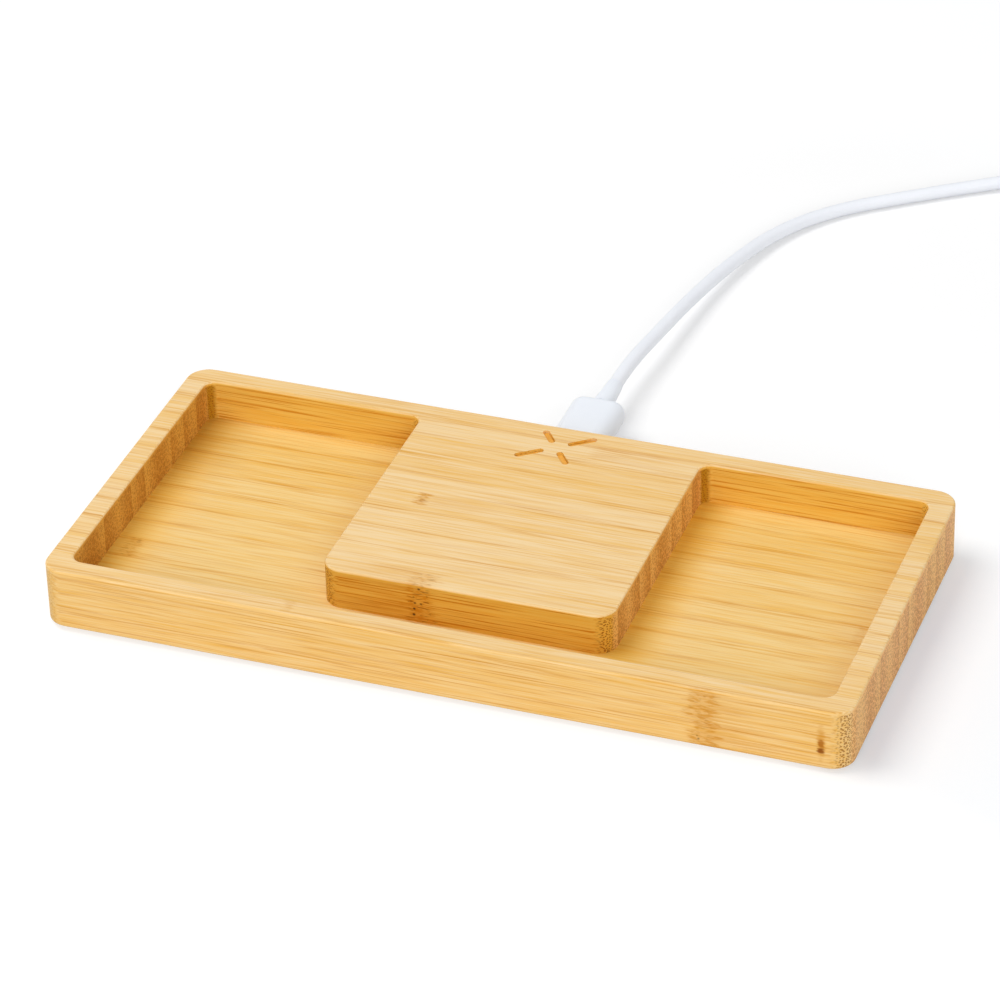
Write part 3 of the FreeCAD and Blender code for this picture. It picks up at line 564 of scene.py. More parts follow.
@dataclass(frozen=True)
class Bamboo(Finish):
    """Sanded and oiled bamboo, laminated from strips that stand on edge and run along X."""

    name: str = "bamboo"
    places: Places = Places()
    pale: Colour = (0.915, 0.675, 0.365)
    honey: Colour = (0.86, 0.50, 0.115)
    line: Colour = (0.66, 0.29, 0.035)
    end_tan: Colour = (0.91, 0.455, 0.152)
    end_gold: Colour = (0.965, 0.55, 0.187)
    dot: Colour = (0.31, 0.095, 0.003)
    stain: Colour = (0.65, 0.265, 0.015)
    fleck: Colour = (0.24, 0.075, 0.006)
    pit: Colour = (0.05, 0.018, 0.004)
    scar_rust: Colour = (0.42, 0.13, 0.003)
    scar_dark: Colour = (0.28, 0.075, 0.002)
    flank_tint: Colour = (1.0, 0.95, 0.80)
    bend_tint: Colour = (0.94, 0.91, 0.80)
    # painted shade: darkens the rounded hollow corners of the pocket walls at the back
    hollow_painted_shade: Colour = (0.60, 0.49, 0.16)
    # painted shade: deeper, darker orange on the upright pocket walls, where shade and warm bounce fall
    milled_painted_shade: Colour = (0.965, 0.835, 0.335)
    # painted shade: darker walls facing the front inside the narrow channels
    pad_front_painted_shade: Colour = (0.955, 0.915, 0.74)
    # painted shade: deeper yellow on the pocket floors
    floor_painted_shade: Colour = (1.0, 0.975, 0.77)
    # painted shade: darker gold floor at the foot of the left wall and beside the pad
    nook_painted_shade: Colour = (0.965, 0.81, 0.33)
    # painted shade: darker floor in the back-left corner of the left pocket
    corner_painted_shade: Colour = (0.73, 0.68, 0.64)
    # painted shade: darker, yellower floor towards the back wall
    back_painted_shade: Colour = (0.955, 0.95, 0.78)
    # painted shade: deeper colour on the milled end faces inside the pockets
    milled_end_painted_shade: Colour = (0.99, 1.0, 0.80)
    milled_band_tint: Colour = (0.90, 0.88, 0.76)
    # painted shade: darker, deeper colour on the left inner end wall
    left_end_painted_shade: Colour = (0.85, 0.78, 0.50)
    usual_tone: float = 0.295
    strip_tone: float = 0.34
    seam_tone: float = 0.14
    streak_tone: float = 0.32
    fine_tone: float = 1.8
    lines: float = 0.55
    milled_lines: float = 0.3
    pad_front_lines: float = 0.25
    stray_lines: float = 0.3
    seam_lines: float = 0.5
    lines_between: float = 0.4
    lines_by_seam: float = 0.5
    end_cover: float = 0.8
    end_spacing: float = 1.05
    dots: float = 0.75
    end_dots: float = 0.52
    bend_dots: float = 0.2
    inner_skin: float = 0.6
    inner_tone: float = 0.4
    gold_levels: Pair = (0.2, 0.8)
    band_levels: Pair = (0.7, 0.2)
    fine_height: float = 0.4
    line_depth: float = 0.3
    relief: float = 0.06 * MM
    roughness: Pair = (0.44, 0.58)
    scar_halo: Scar = Scar(7.2, 1.15, 4.6, 0.6)
    scar_streak: Scar = Scar(6.9, 0.8, 1.4, 0.85)
    scar_core: Scar = Scar(5.2, 1.0, 0.8, 0.95)
    knuckles: Tuple[Knuckle, ...] = (
        Knuckle(-20.0, 4.0, 8.6, 1.6, 0.0, 0.8, 0.5, 0.0, 24.0, 0.3),
        Knuckle(-9.5, -26.75, -19.7, 3.5, 1.0, 0.5, 0.7, 0.9, -24.0, 0.7),
        Knuckle(-32.0, -40.85, -33.8, 1.4, 0.4, 0.3, 0.2, 0.2, -18.0, 0.3),
        Knuckle(56.0, -47.9, -40.85, 3.4, 0.8, 0.5, 0.25, 0.7, 18.0, 0.4),
        Knuckle(6.5, 31.5, 36.7, 0.02, 0.0, 0.5, 0.0, 0.0, 26.0, 0.8),
        Knuckle(-77.0, -19.7, -12.65, 2.0, 0.4, 0.6, 0.5, 0.0, 14.0, 0.35),
        Knuckle(77.0, -5.6, 1.45, 1.6, 0.4, 0.3, 0.2, 0.0, -16.0, 0.25),
    )

    def paint(self, graph: Graph) -> Dict[str, Feed]:
        """Paint the strips, their lines and cut ends, the painted shade of the pocket walls, floors and corners, the
        knuckles and the scar.

        Args:
            graph: the material's calls.

        Returns:
            The shader's inputs.
        """
        strips = graph.effect(Effect.STRIPS)
        strip = {"Strip": strips["Tone"], "Skin": strips["Skin"]}
        fibres = graph.effect(Effect.FIBRES, **strip)
        coarse = graph.effect(Effect.FIBRES, **strip, Bundle_Spacing=self.end_spacing)
        turns = Turns(graph, self.places)

        tone = strips["Tone"].swing(self.strip_tone) + self.usual_tone + strips["Near"] * self.seam_tone
        tone = tone + fibres["Streak"].swing(self.streak_tone) + fibres["Fine"].swing(self.fine_tone)
        colour = graph.mix(tone, self.pale, self.honey)
        shown = graph.math("MAXIMUM", strips["Near"] * self.lines_by_seam + self.lines_between, turns.broad)
        strength = turns.milled * self.milled_lines + self.lines + turns.milled * turns.front * self.pad_front_lines
        marks = fibres["Lines"] * shown * strength + fibres["Stray"] * self.stray_lines
        marks = (marks + strips["Seam"] * turns.lying * self.seam_lines).clamped()
        colour = graph.mix(marks * (1.0 - turns.cut), colour, self.line)

        inner = (1.0 - strips["Skin"]) * self.inner_skin + strips["Tone"] * self.inner_tone
        end = graph.mix(inner.rise(*self.gold_levels), self.end_tan, self.end_gold)
        colour = graph.mix(turns.square * self.end_cover, colour, end)
        # masks of the upright pocket walls that get painted shade, and of the milled end faces
        painted_shade_walls, milled_end = turns.milled * (1.0 - turns.square), turns.milled * turns.square
        for mask, tint in (
            (turns.flank, self.flank_tint),
            (turns.bend, self.bend_tint),
            # painted shade in the back hollow corners
            (turns.hollow, self.hollow_painted_shade),
            # painted shade on the upright pocket walls
            (painted_shade_walls, self.milled_painted_shade),
            # painted shade on the walls facing the front in the channels
            (painted_shade_walls * turns.front, self.pad_front_painted_shade),
            # painted shade on the pocket floors
            (turns.floor, self.floor_painted_shade),
            # painted shade at the foot of the left wall and beside the pad
            (turns.nook, self.nook_painted_shade),
            # painted shade in the back-left floor corner
            (turns.corner, self.corner_painted_shade),
            # painted shade on the floor towards the back wall
            (turns.back, self.back_painted_shade),
            # painted shade on the milled end faces
            (milled_end, self.milled_end_painted_shade),
            (milled_end * inner.rise(*self.band_levels), self.milled_band_tint),
            # painted shade on the left inner end wall
            (milled_end * turns.left, self.left_end_painted_shade),
        ):
            colour = graph.mix(mask, colour, tint, "MULTIPLY")
        strength = turns.square * (self.end_dots - self.dots) + self.dots + turns.bend * turns.milled * self.bend_dots
        ends = graph.math("MAXIMUM", fibres["Ends"], coarse["Ends"] * turns.square)
        dots = ends * turns.cut * turns.worn * strength
        colour = graph.mix(dots, colour, self.dot)

        height = fibres["Fine"] * self.fine_height - fibres["Lines"] * self.line_depth - dots
        every_pit: Feed = 0.0
        for knuckle in self.knuckles:
            found = knuckle.draw(graph)
            seen = turns.wall * (knuckle.on_wall - knuckle.on_top) + knuckle.on_top
            colour = graph.mix(found["Stain"] * seen, colour, self.stain)
            colour = graph.mix(found["Flecks"] * seen * knuckle.flecks, colour, self.fleck)
            every_pit = found["Pits"] * turns.wall * knuckle.pits + every_pit
        for scar, dark in (
            (self.scar_halo, self.stain), (self.scar_streak, self.scar_rust), (self.scar_core, self.scar_dark)
        ):
            colour = graph.mix(scar.draw(graph), colour, dark)
        return {
            "Base Color": graph.mix(every_pit, colour, self.pit),
            "Roughness": fibres["Fine"].rise(*NOISE_SPREAD, *self.roughness),
            "Specular IOR Level": 0.12,
            "Normal": (height - every_pit).bump(strength=0.5, depth=self.relief),
        }


@dataclass(frozen=True)
class Moulded(Finish):
    """A moulded, sintered or cast surface: fine grain with a slow change of tone and gloss."""

    name: str
    colour: Colour
    cloud_colour: Colour
    roughness: Pair = (0.4, 0.55)
    grain_size: float = 0.3
    cloud_size: float = 9.0
    depth: float = 0.03 * MM
    subsurface: float = 0.0
    grain_share: float = 0.6

    def paint(self, graph: Graph) -> Dict[str, Feed]:
        """Paint the grain and the clouds.

        Args:
            graph: the material's calls.

        Returns:
            The shader's inputs.
        """
        field = graph.effect(Effect.SPECKLE, Grain_Size=self.grain_size, Cloud_Size=self.cloud_size)
        share = field["Grain"].swing(self.grain_share) + field["Cloud"]
        return {
            "Base Color": graph.mix(share.rise(*NOISE_SPREAD), self.colour, self.cloud_colour),
            "Roughness": field["Cloud"].rise(*NOISE_SPREAD, *self.roughness),
            "Subsurface Weight": self.subsurface,
            "Subsurface Radius": WHITE,
            "Subsurface Scale": 2 * MM,
            "Normal": field["Grain"].bump(strength=0.4, depth=self.depth),
        }


@dataclass(frozen=True)
class Drawn(Finish):
    """Plated or drawn metal with fine lines along it."""

    name: str
    colour: Colour
    line_colour: Colour
    roughness: Pair = (0.22, 0.38)
    spacing: float = 0.12
    length: float = 6.0
    cloud_size: float = 5.0
    line_share: float = 0.5
    line_levels: Pair = (0.35, 0.65)

    def paint(self, graph: Graph) -> Dict[str, Feed]:
        """Paint the lines and slow clouds.

        Args:
            graph: the material's calls.

        Returns:
            The shader's inputs.
        """
        lines = graph.effect(Effect.DRAWN, Spacing=self.spacing, Length=self.length)["Lines"]
        cloud = graph.effect(Effect.SPECKLE, Cloud_Size=self.cloud_size)["Cloud"]
        share = lines * self.line_share + cloud * (1.0 - self.line_share)
        return {
            "Base Color": graph.mix(share.rise(*self.line_levels), self.colour, self.line_colour),
            "Roughness": share.rise(*NOISE_SPREAD, *self.roughness),
            "Metallic": 1.0,
            "Normal": lines.bump(strength=0.15, depth=0.01 * MM),
        }


@dataclass(frozen=True)
class Capped(Finish):
    """Fired ceramic chips whose two ends are dipped in metal."""

    name: str
    middle_mm: float
    bare_mm: float
    colour: Colour = (0.42, 0.27, 0.14)
    cap_colour: Colour = (0.70, 0.70, 0.68)
    shade: float = 0.75
    wave_mm: float = 0.15
    cap_from_mm: float = 0.06
    cap_to_mm: float = 0.12

    def paint(self, graph: Graph) -> Dict[str, Feed]:
        """Paint the ceramic and its caps.

        Args:
            graph: the material's calls.

        Returns:
            The shader's inputs.
        """
        field = graph.effect(Effect.SPECKLE, Grain_Size=0.15, Cloud_Size=1.2)
        _, y, _ = graph.place_mm()
        wavy = field["Cloud"] * self.wave_mm + abs(y - self.middle_mm)
        cap = wavy.rise(self.bare_mm + self.cap_from_mm, self.bare_mm + self.cap_to_mm)
        body = graph.mix(field["Grain"], self.colour, tuple(self.shade * part for part in self.colour))
        return {
            "Base Color": graph.mix(cap, body, self.cap_colour),
            "Metallic": cap,
            "Roughness": field["Grain"].rise(*NOISE_SPREAD, 0.35, 0.5),
            "Normal": field["Grain"].bump(strength=0.3, depth=0.01 * MM),
        }


@dataclass(frozen=True)
class Laminate(Finish):
    """Circuit board: solder mask over copper tracks and a ground plane."""

    name: str = "board_laminate"
    mask_colour: Colour = (0.012, 0.16, 0.055)
    track_colour: Colour = (0.03, 0.27, 0.09)
    track_cells: Point = (4.0, 5.0, 50.0)
    track_scatter: float = 0.7
    tracks_per_cell: float = 4.0
    track_middle: float = 0.5
    track_edge: Pair = (0.2, 0.26)
    cloud_share: float = 0.3

    def paint(self, graph: Graph) -> Dict[str, Feed]:
        """Paint the tracks under the mask.

        Args:
            graph: the material's calls.

        Returns:
            The shader's inputs.
        """
        field = graph.effect(Effect.SPECKLE, Grain_Size=0.25, Cloud_Size=7.0)
        cell = graph.cells(graph.place_mm(), self.track_cells, self.track_scatter, distance="MANHATTAN")
        rings = graph.math("FRACT", cell["Distance"] * self.tracks_per_cell)
        track = abs(rings - self.track_middle).rise(*self.track_edge)
        colour = graph.mix(track, self.mask_colour, self.track_colour)
        return {
            "Base Color": graph.mix(field["Cloud"] * self.cloud_share, colour, self.mask_colour),
            "Roughness": field["Grain"].rise(*NOISE_SPREAD, 0.28, 0.4),
            "Coat Weight": 0.2,
            "Normal": track.bump(strength=0.4, depth=0.03 * MM),
        }


@dataclass(frozen=True)
class Woven(Finish):
    """Narrow woven band, its pattern laid out along and across the band in millimetres."""

    name: str = "tie_fabric"
    colour: Colour = (0.80, 0.81, 0.84)
    shade: Colour = (0.56, 0.57, 0.61)
    thread: float = 0.42
    twill_share: float = 0.3
    rib_share: float = 0.6
    fuzz_share: float = 0.5
    light_levels: Pair = (0.1, 0.8)

    def paint(self, graph: Graph) -> Dict[str, Feed]:
        """Paint the weave and its fuzz.

        Args:
            graph: the material's calls.

        Returns:
            The shader's inputs.
        """
        laid = graph.split(graph.take("UV", "ShaderNodeTexCoord", {}))
        along, across = (part * (math.pi / self.thread) for part in laid[:2])
        field = graph.effect(Effect.SPECKLE, Grain_Size=0.12, Cloud_Size=2.5)
        twill = graph.math("SINE", along + across)
        rib = abs(graph.math("SINE", across))
        fuzzy = twill * self.twill_share + rib * self.rib_share + field["Grain"] * self.fuzz_share
        return {
            "Base Color": graph.mix(fuzzy.rise(*self.light_levels), self.shade, self.colour),
            "Roughness": field["Cloud"].rise(*NOISE_SPREAD, 0.8, 0.92),
            "Specular IOR Level": 0.25,
            "Sheen Weight": 0.25,
            "Normal": fuzzy.bump(strength=0.7, depth=0.12 * MM),
        }


class Finishes:
    """Every finish of the object, built once."""

    cap_mm = 0.55

    def __init__(self) -> None:
        """Build the shared effects and the materials."""
        Effects().build()
        finishes = [
            Bamboo(),
            Laminate(),
            Woven(),
            Moulded("amber_diffuser", (0.86, 0.43, 0.055), (0.78, 0.36, 0.042), (0.55, 0.65), 0.2, 4.0, subsurface=0.1),
            Moulded("cover_plastic", (0.028, 0.028, 0.03), (0.036, 0.036, 0.038), (0.5, 0.62), 0.22),
            Moulded("foot_rubber", (0.03, 0.03, 0.031), (0.045, 0.045, 0.045), (0.8, 0.92), 0.35),
            Moulded("coil_tape", (0.80, 0.79, 0.72), (0.74, 0.72, 0.64), (0.7, 0.85), 0.25),
            Moulded("ferrite", (0.05, 0.05, 0.055), (0.075, 0.075, 0.08), (0.65, 0.8), 0.3),
            Moulded("thermistor_epoxy", (0.02, 0.02, 0.02), (0.03, 0.03, 0.03), (0.15, 0.3)),
            Moulded("chip_epoxy", (0.018, 0.018, 0.019), (0.028, 0.028, 0.028), (0.6, 0.72), 0.12, 2.0),
            Moulded("led_lens", (0.90, 0.84, 0.58), (0.86, 0.78, 0.48), (0.12, 0.22), subsurface=0.3),
            Moulded("contact_polymer", (0.02, 0.02, 0.021), (0.032, 0.032, 0.033), (0.5, 0.6), 0.15),
            Moulded("white_plastic", (0.88, 0.92, 1.0), (0.86, 0.90, 0.985), (0.38, 0.48), 0.25, 12.0, 0.02 * MM, 0.3),
            Moulded("cable_jacket", (0.91, 0.935, 0.985), (0.89, 0.915, 0.97), (0.42, 0.55), 0.3, 14.0, 0.02 * MM),
            Drawn("screw_steel", (0.62, 0.62, 0.60), (0.50, 0.50, 0.47), (0.28, 0.42), 0.2, 0.6),
            Drawn("coil_copper", (0.78, 0.33, 0.13), (0.62, 0.22, 0.08), (0.2, 0.35), 0.1, 3.0),
            Drawn("shell_steel", (0.70, 0.70, 0.71), (0.60, 0.60, 0.62)),
            Drawn("contact_gold", (0.86, 0.60, 0.22), (0.78, 0.52, 0.17), (0.18, 0.3), 0.08, 2.0),
        ]
        for node in ("resonant_capacitors", "input_capacitors"):
            low, high = (corner.y * MM_PER_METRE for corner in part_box(node))
            finishes.append(Capped(node, (low + high) / 2, (high - low) / 2 - self.cap_mm))
        self.materials = {finish.name: finish.make() for finish in finishes}

    def dress(self, piece: bpy.types.Object, name: str) -> None:
        """Give a piece one finish all over."""
        piece.data.materials.clear()
        piece.data.materials.append(self.materials[name])


def show(name: str, data: bpy.types.ID) -> bpy.types.Object:
    """Put a mesh, curve, lamp or camera into the scene.

    Args:
        name: the object's name.
        data: what it shows.

    Returns:
        The new object.
    """
    thing = bpy.data.objects.new(name, data)
    bpy.context.scene.collection.objects.link(thing)
    return thing


def quarter(centre: Pair, radius: float, first: float, steps: int) -> List[Pair]:
    """Lay points round a quarter of a circle, from an angle in degrees."""
    angles = (math.radians(first + 90.0 * step / steps) for step in range(steps + 1))
    return [(centre[0] + radius * math.cos(angle), centre[1] + radius * math.sin(angle)) for angle in angles]


def finish_piece(name: str, mesh: bmesh.types.BMesh, smooth_angle: float = 35.0) -> bpy.types.Object:
    """Turn a worked mesh into a piece of the scene.

    Args:
        name: the piece's name.
        mesh: the mesh, which is freed.
        smooth_angle: edges sharper than this, in degrees, stay sharp.

    Returns:
        The new piece.
    """
    data = bpy.data.meshes.new(name)
    mesh.to_mesh(data)
    mesh.free()
    soften(data, smooth_angle)
    return show(name, data)


def soften(data: bpy.types.Mesh, angle: float) -> None:
    """Shade a mesh smooth, with edges sharper than an angle in degrees kept sharp."""
    data.shade_smooth()
    data.set_sharp_from_angle(angle=math.radians(angle))


def make_bars(name: str, bars: Sequence[Tuple[Point, Point]], edge: float) -> bpy.types.Object:
    """Make a set of thin bars with eased edges as one piece.

    Args:
        name: the piece's name.
        bars: the lowest and highest corner of each.
        edge: how far the edges are eased.

    Returns:
        The new piece.
    """
    mesh = bmesh.new()
    for low, high in bars:
        middle = (Vector(low) + Vector(high)) / 2
        size = Vector(high) - Vector(low)
        place = Matrix.Translation(middle) @ Matrix.Diagonal((*size, 1.0))
        bmesh.ops.create_cube(mesh, size=1.0, matrix=place)
    bmesh.ops.bevel(mesh, geom=list(mesh.edges), offset=edge, segments=2, affect="EDGES", profile=0.5)
    return finish_piece(name, mesh)


@dataclass(frozen=True)
class SoftBox:
    """One large lamp."""

    name: str
    place: Point
    size: Pair
    power: float

    def hang(self, aim: Point) -> None:
        """Make the lamp.

        Args:
            aim: the point that it faces.
        """
        data = bpy.data.lights.new(self.name, "AREA")
        data.shape = "RECTANGLE"
        data.size, data.size_y = self.size
        data.energy = self.power
        lamp = show(self.name, data)
        lamp.location = self.place
        lamp.rotation_mode = "QUATERNION"
        lamp.rotation_quaternion = (Vector(aim) - Vector(self.place)).to_track_quat("-Z", "Y")


@dataclass(frozen=True)
class TableWhite:
    """The white of a stretch of the table as the camera sees it: what it gives back, and a glow of its own.

    A round stretch fades out between two distances from its middle, in millimetres. A stretch whose glow differs from
    the rest paints the shadows in it deeper or lighter.
    """

    colour: Colour
    glow: Colour
    middle: Pair = (0.0, 0.0)
    fade: Pair = (0.0, 1.0)

    def outside(self, graph: Graph) -> Field:
        """Mark what lies outside a round stretch.

        Args:
            graph: the table's calls.

        Returns:
            The mask.
        """
        x, y, _ = graph.place_mm()
        aside, behind = x - self.middle[0], y - self.middle[1]
        return graph.math("SQRT", aside * aside + behind * behind).rise(*self.fade)


@dataclass
class Studio:
    """White table, soft light and the camera."""

    azimuth: float = 20.464
    elevation: float = 32.9859
    roll: float = -1.6761
    distance: float = 0.9801431
    aim: Point = (-0.0117123, 0.030242, 0.001)
    focal_pixels: float = 4596.6724
    picture_pixels: float = 1000.0
    sensor: float = 36.0
    clip: Pair = (0.01, 50.0)
    table_half: float = 4.0
    table_segments: int = 4
    gap_reach: float = 0.002
    table_colour: Colour = (0.88, 0.88, 0.88)
    # painted shadow: right of the tray the table glows less and is tinted, so that its shadow shows deeper and greyer
    painted_deep_shade_white: TableWhite = TableWhite((1.0, 0.89, 0.78), (0.01, 0.13, 0.25), (95.0, -25.0), (38.0, 95.0))
    # painted shadow: around the cable the table glows less, so that its shadow shows deeper
    painted_cable_shade_white: TableWhite = TableWhite((0.92, 0.92, 0.92), (0.14, 0.14, 0.14), (25.0, 140.0), (50.0, 105.0))
    # painted light: in front of the tray the table glows more, which lightens its shadow there
    painted_front_light_white: TableWhite = TableWhite((0.42, 0.42, 0.42), (0.66, 0.66, 0.66))
    far_white: TableWhite = TableWhite((0.80, 0.81, 0.82), (0.28, 0.28, 0.28))
    # where the painted light in front of the tray begins and ends
    front_slant: float = 0.4
    front_edge: Pair = (-14.0, 3.0)
    dome: float = 0.45
    lamp_aim: Point = (0.0, 0.0, 0.01)
    lamps: Tuple[SoftBox, ...] = (
        SoftBox("key_lamp", (-0.56, -0.1, 1.2), (0.8, 0.8), 7.9),
        SoftBox("front_lamp", (0.75, -1.45, 0.9), (1.4, 0.9), 13.6),
    )

    def build(self) -> None:
        """Set up the view, the table, the lamps and the surroundings."""
        bpy.context.scene.view_settings.view_transform = "Standard"
        self.place_camera()
        self.lay_table()
        self.light()

    def place_camera(self) -> None:
        """Stand the camera where the picture was taken from."""
        turn, rise, roll = (math.radians(angle) for angle in (self.azimuth, self.elevation, self.roll))
        back = Vector((math.sin(turn) * math.cos(rise), -math.cos(turn) * math.cos(rise), math.sin(rise)))
        right = Vector((0.0, 0.0, 1.0)).cross(back).normalized()
        up = back.cross(right)
        rolled_right = right * math.cos(roll) + up * math.sin(roll)
        rolled_up = up * math.cos(roll) - right * math.sin(roll)
        data = bpy.data.cameras.new("camera")
        data.sensor_width = self.sensor
        data.lens = self.focal_pixels / self.picture_pixels * self.sensor
        data.clip_start, data.clip_end = self.clip
        camera = show("camera", data)
        axes = Matrix((rolled_right, rolled_up, back)).transposed()
        camera.matrix_world = Matrix.Translation(Vector(self.aim) + back * self.distance) @ axes.to_4x4()
        bpy.context.scene.camera = camera

    def seen_directly(self, graph: Graph) -> Field:
        """Give 1 for rays that show a surface to the camera, straight or by a mirror or glass."""
        path = graph.named("ShaderNodeLightPath", {})
        return (path["Is Camera Ray"] + path["Is Glossy Ray"] + path["Is Transmission Ray"]).clamped()

    def lay_table(self) -> None:
        """Lay the table: a white that holds soft shadows, with painted deeper shadow right of the tray and by the cable
        and painted light over the shadow in front, and clear from below and for light in a narrow gap.
        """
        mesh = bmesh.new()
        segments = self.table_segments
        bmesh.ops.create_grid(mesh, x_segments=segments, y_segments=segments, size=self.table_half)
        table = finish_piece("table", mesh)
        material = bpy.data.materials.new("table_white")
        graph = blank(material)
        plain = graph.take(0, "ShaderNodeBsdfDiffuse", {"Color": opaque(self.table_colour)})
        x, y, _ = graph.place_mm()
        # stretches of the table with painted shadow and painted light
        off_painted_deep_shade, off_painted_cable_shade = self.painted_deep_shade_white.outside(graph), self.painted_cable_shade_white.outside(graph)
        # where the painted light in front of the tray lies
        in_painted_front_light = (x * self.front_slant + y).fall(*self.front_edge)
        whites = (self.painted_deep_shade_white, self.painted_cable_shade_white, self.painted_front_light_white, self.far_white)
        colour, shine = (
            graph.mix(in_painted_front_light, graph.mix(off_painted_deep_shade, shadow, graph.mix(off_painted_cable_shade, cable, far)), front)
            for shadow, cable, front, far in zip(*((white.colour, white.glow) for white in whites))
        )
        shaded = graph.take(0, "ShaderNodeBsdfDiffuse", {"Color": colour})
        glow = graph.take(0, "ShaderNodeEmission", {"Color": shine, "Strength": 1.0})
        seen = graph.take(0, "ShaderNodeAddShader", {0: shaded, 1: glow})
        top = graph.mix_shaders(self.seen_directly(graph), plain, seen)
        path = graph.named("ShaderNodeLightPath", {})
        spread = (path["Is Diffuse Ray"] + path["Is Shadow Ray"]).clamped()
        gap = spread * (path["Ray Length"] < self.gap_reach)
        under = graph.math("MAXIMUM", graph.take("Backfacing", "ShaderNodeNewGeometry", {}), gap)
        clear = graph.take(0, "ShaderNodeBsdfTransparent", {})
        graph.add("ShaderNodeOutputMaterial", {"Surface": graph.mix_shaders(under, top, clear)})
        table.data.materials.append(material)

    def light(self) -> None:
        """Hang the lamps in a plain white room."""
        for lamp in self.lamps:
            lamp.hang(self.lamp_aim)
        world = bpy.data.worlds.new("white_room")
        graph = blank(world)
        dim, white = (
            graph.take(0, "ShaderNodeBackground", {"Color": opaque(WHITE), "Strength": strength})
            for strength in (self.dome, 1.0)
        )
        graph.add("ShaderNodeOutputWorld", {"Surface": graph.mix_shaders(self.seen_directly(graph), dim, white)})
        bpy.context.scene.world = world


@dataclass
class Solids:
    """The rigid solids that show as they were cut or moulded, each with its finish."""

    finishes: Finishes
    smooth_angle: float = 32.0

    def dress(self) -> None:
        """Give every solid its finish, from the slot that the record names unless it has one of its own."""
        for row in frame["record"]["subparts"]:
            node, slot = row["node"], row["material_slot"]
            piece = frame["nodes"][node]
            finish = node if node in self.finishes.materials else slot
            self.finishes.dress(piece, finish)
            soften(piece.data, self.smooth_angle)
            LOG.info("%s: %s", node, finish)


@dataclass
class Cord:
    """The cable: out of the plug, down to the table, round into its put-away coil and on to the far plug."""

    finishes: Finishes
    diameter: float = 0.0032
    length: float = 0.971
    smoothness: int = 5
    coil_centre: Pair = (0.0925, 0.1885)
    coil_outer: float = 0.024871
    coil_pitch: float = 0.0037
    coil_turns: float = 6.3472
    coil_start: float = 125.0
    coil_level: float = 0.0024
    climb_turns: float = 0.24412
    points_per_turn: int = 16
    run: Tuple[Point, ...] = (
        (0.0, 0.0728, 0.0068),
        (0.0, 0.0818, 0.0068),
        (0.0015, 0.0962, 0.0061),
        (0.0032, 0.1152, 0.0046),
        (0.0062, 0.1356, 0.0031),
        (0.0120, 0.1562, 0.0021),
        (0.0219, 0.1708, 0.0016),
        (0.0362, 0.1816, 0.0016),
        (0.0512, 0.1921, 0.0016),
        (0.06578, 0.20016, 0.0024),
        (0.07561, 0.20704, 0.0024),
    )
    tail: Tuple[Point, ...] = (
        (0.11737, 0.1853, 0.0061),
        (0.11737, 0.1733, 0.0061),
        (0.11737, 0.1573, 0.0039),
        (0.11737, 0.1453, 0.0039),
    )

    def coil_points(self) -> List[Point]:
        """Wind the coil: inwards on the table, then outwards on top.

        Returns:
            The coil's points, in order.
        """
        count = round(self.coil_turns * self.points_per_turn)
        points = []
        for index in range(count + 1):
            turn = self.coil_turns * index / count
            radius = self.coil_outer - self.coil_pitch * min(turn, self.coil_turns - turn)
            angle = math.radians(self.coil_start) - 2 * math.pi * turn
            climb = min(max((turn - self.coil_turns / 2) / self.climb_turns, -1.0), 1.0)
            level = self.coil_level + self.coil_pitch * (1 + math.sin(climb * math.pi / 2)) / 2
            x, y = self.coil_centre
            points.append((x + radius * math.cos(angle), y + radius * math.sin(angle), level))
        return points

    def build(self) -> bpy.types.Object:
        """Make the cable as one smooth curve through its route.

        Returns:
            The cable's piece.
        """
        route = [*self.run, *self.coil_points(), *self.tail]
        data = bpy.data.curves.new("cable", "CURVE")
        data.dimensions = "3D"
        data.resolution_u = self.smoothness
        data.bevel_depth = self.diameter / 2
        data.bevel_resolution = self.smoothness
        data.use_fill_caps = True
        spline = data.splines.new("NURBS")
        spline.points.add(len(route) - 1)
        for control, point in zip(spline.points, route):
            control.co = (*point, 1.0)
        spline.order_u = 3
        spline.use_endpoint_u = True
        piece = show("cable", data)
        self.finishes.dress(piece, "cable_jacket")
        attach(piece, Body.CABLE.value)
        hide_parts("cable_run", "cable_coil", "cable_tail")
        return piece


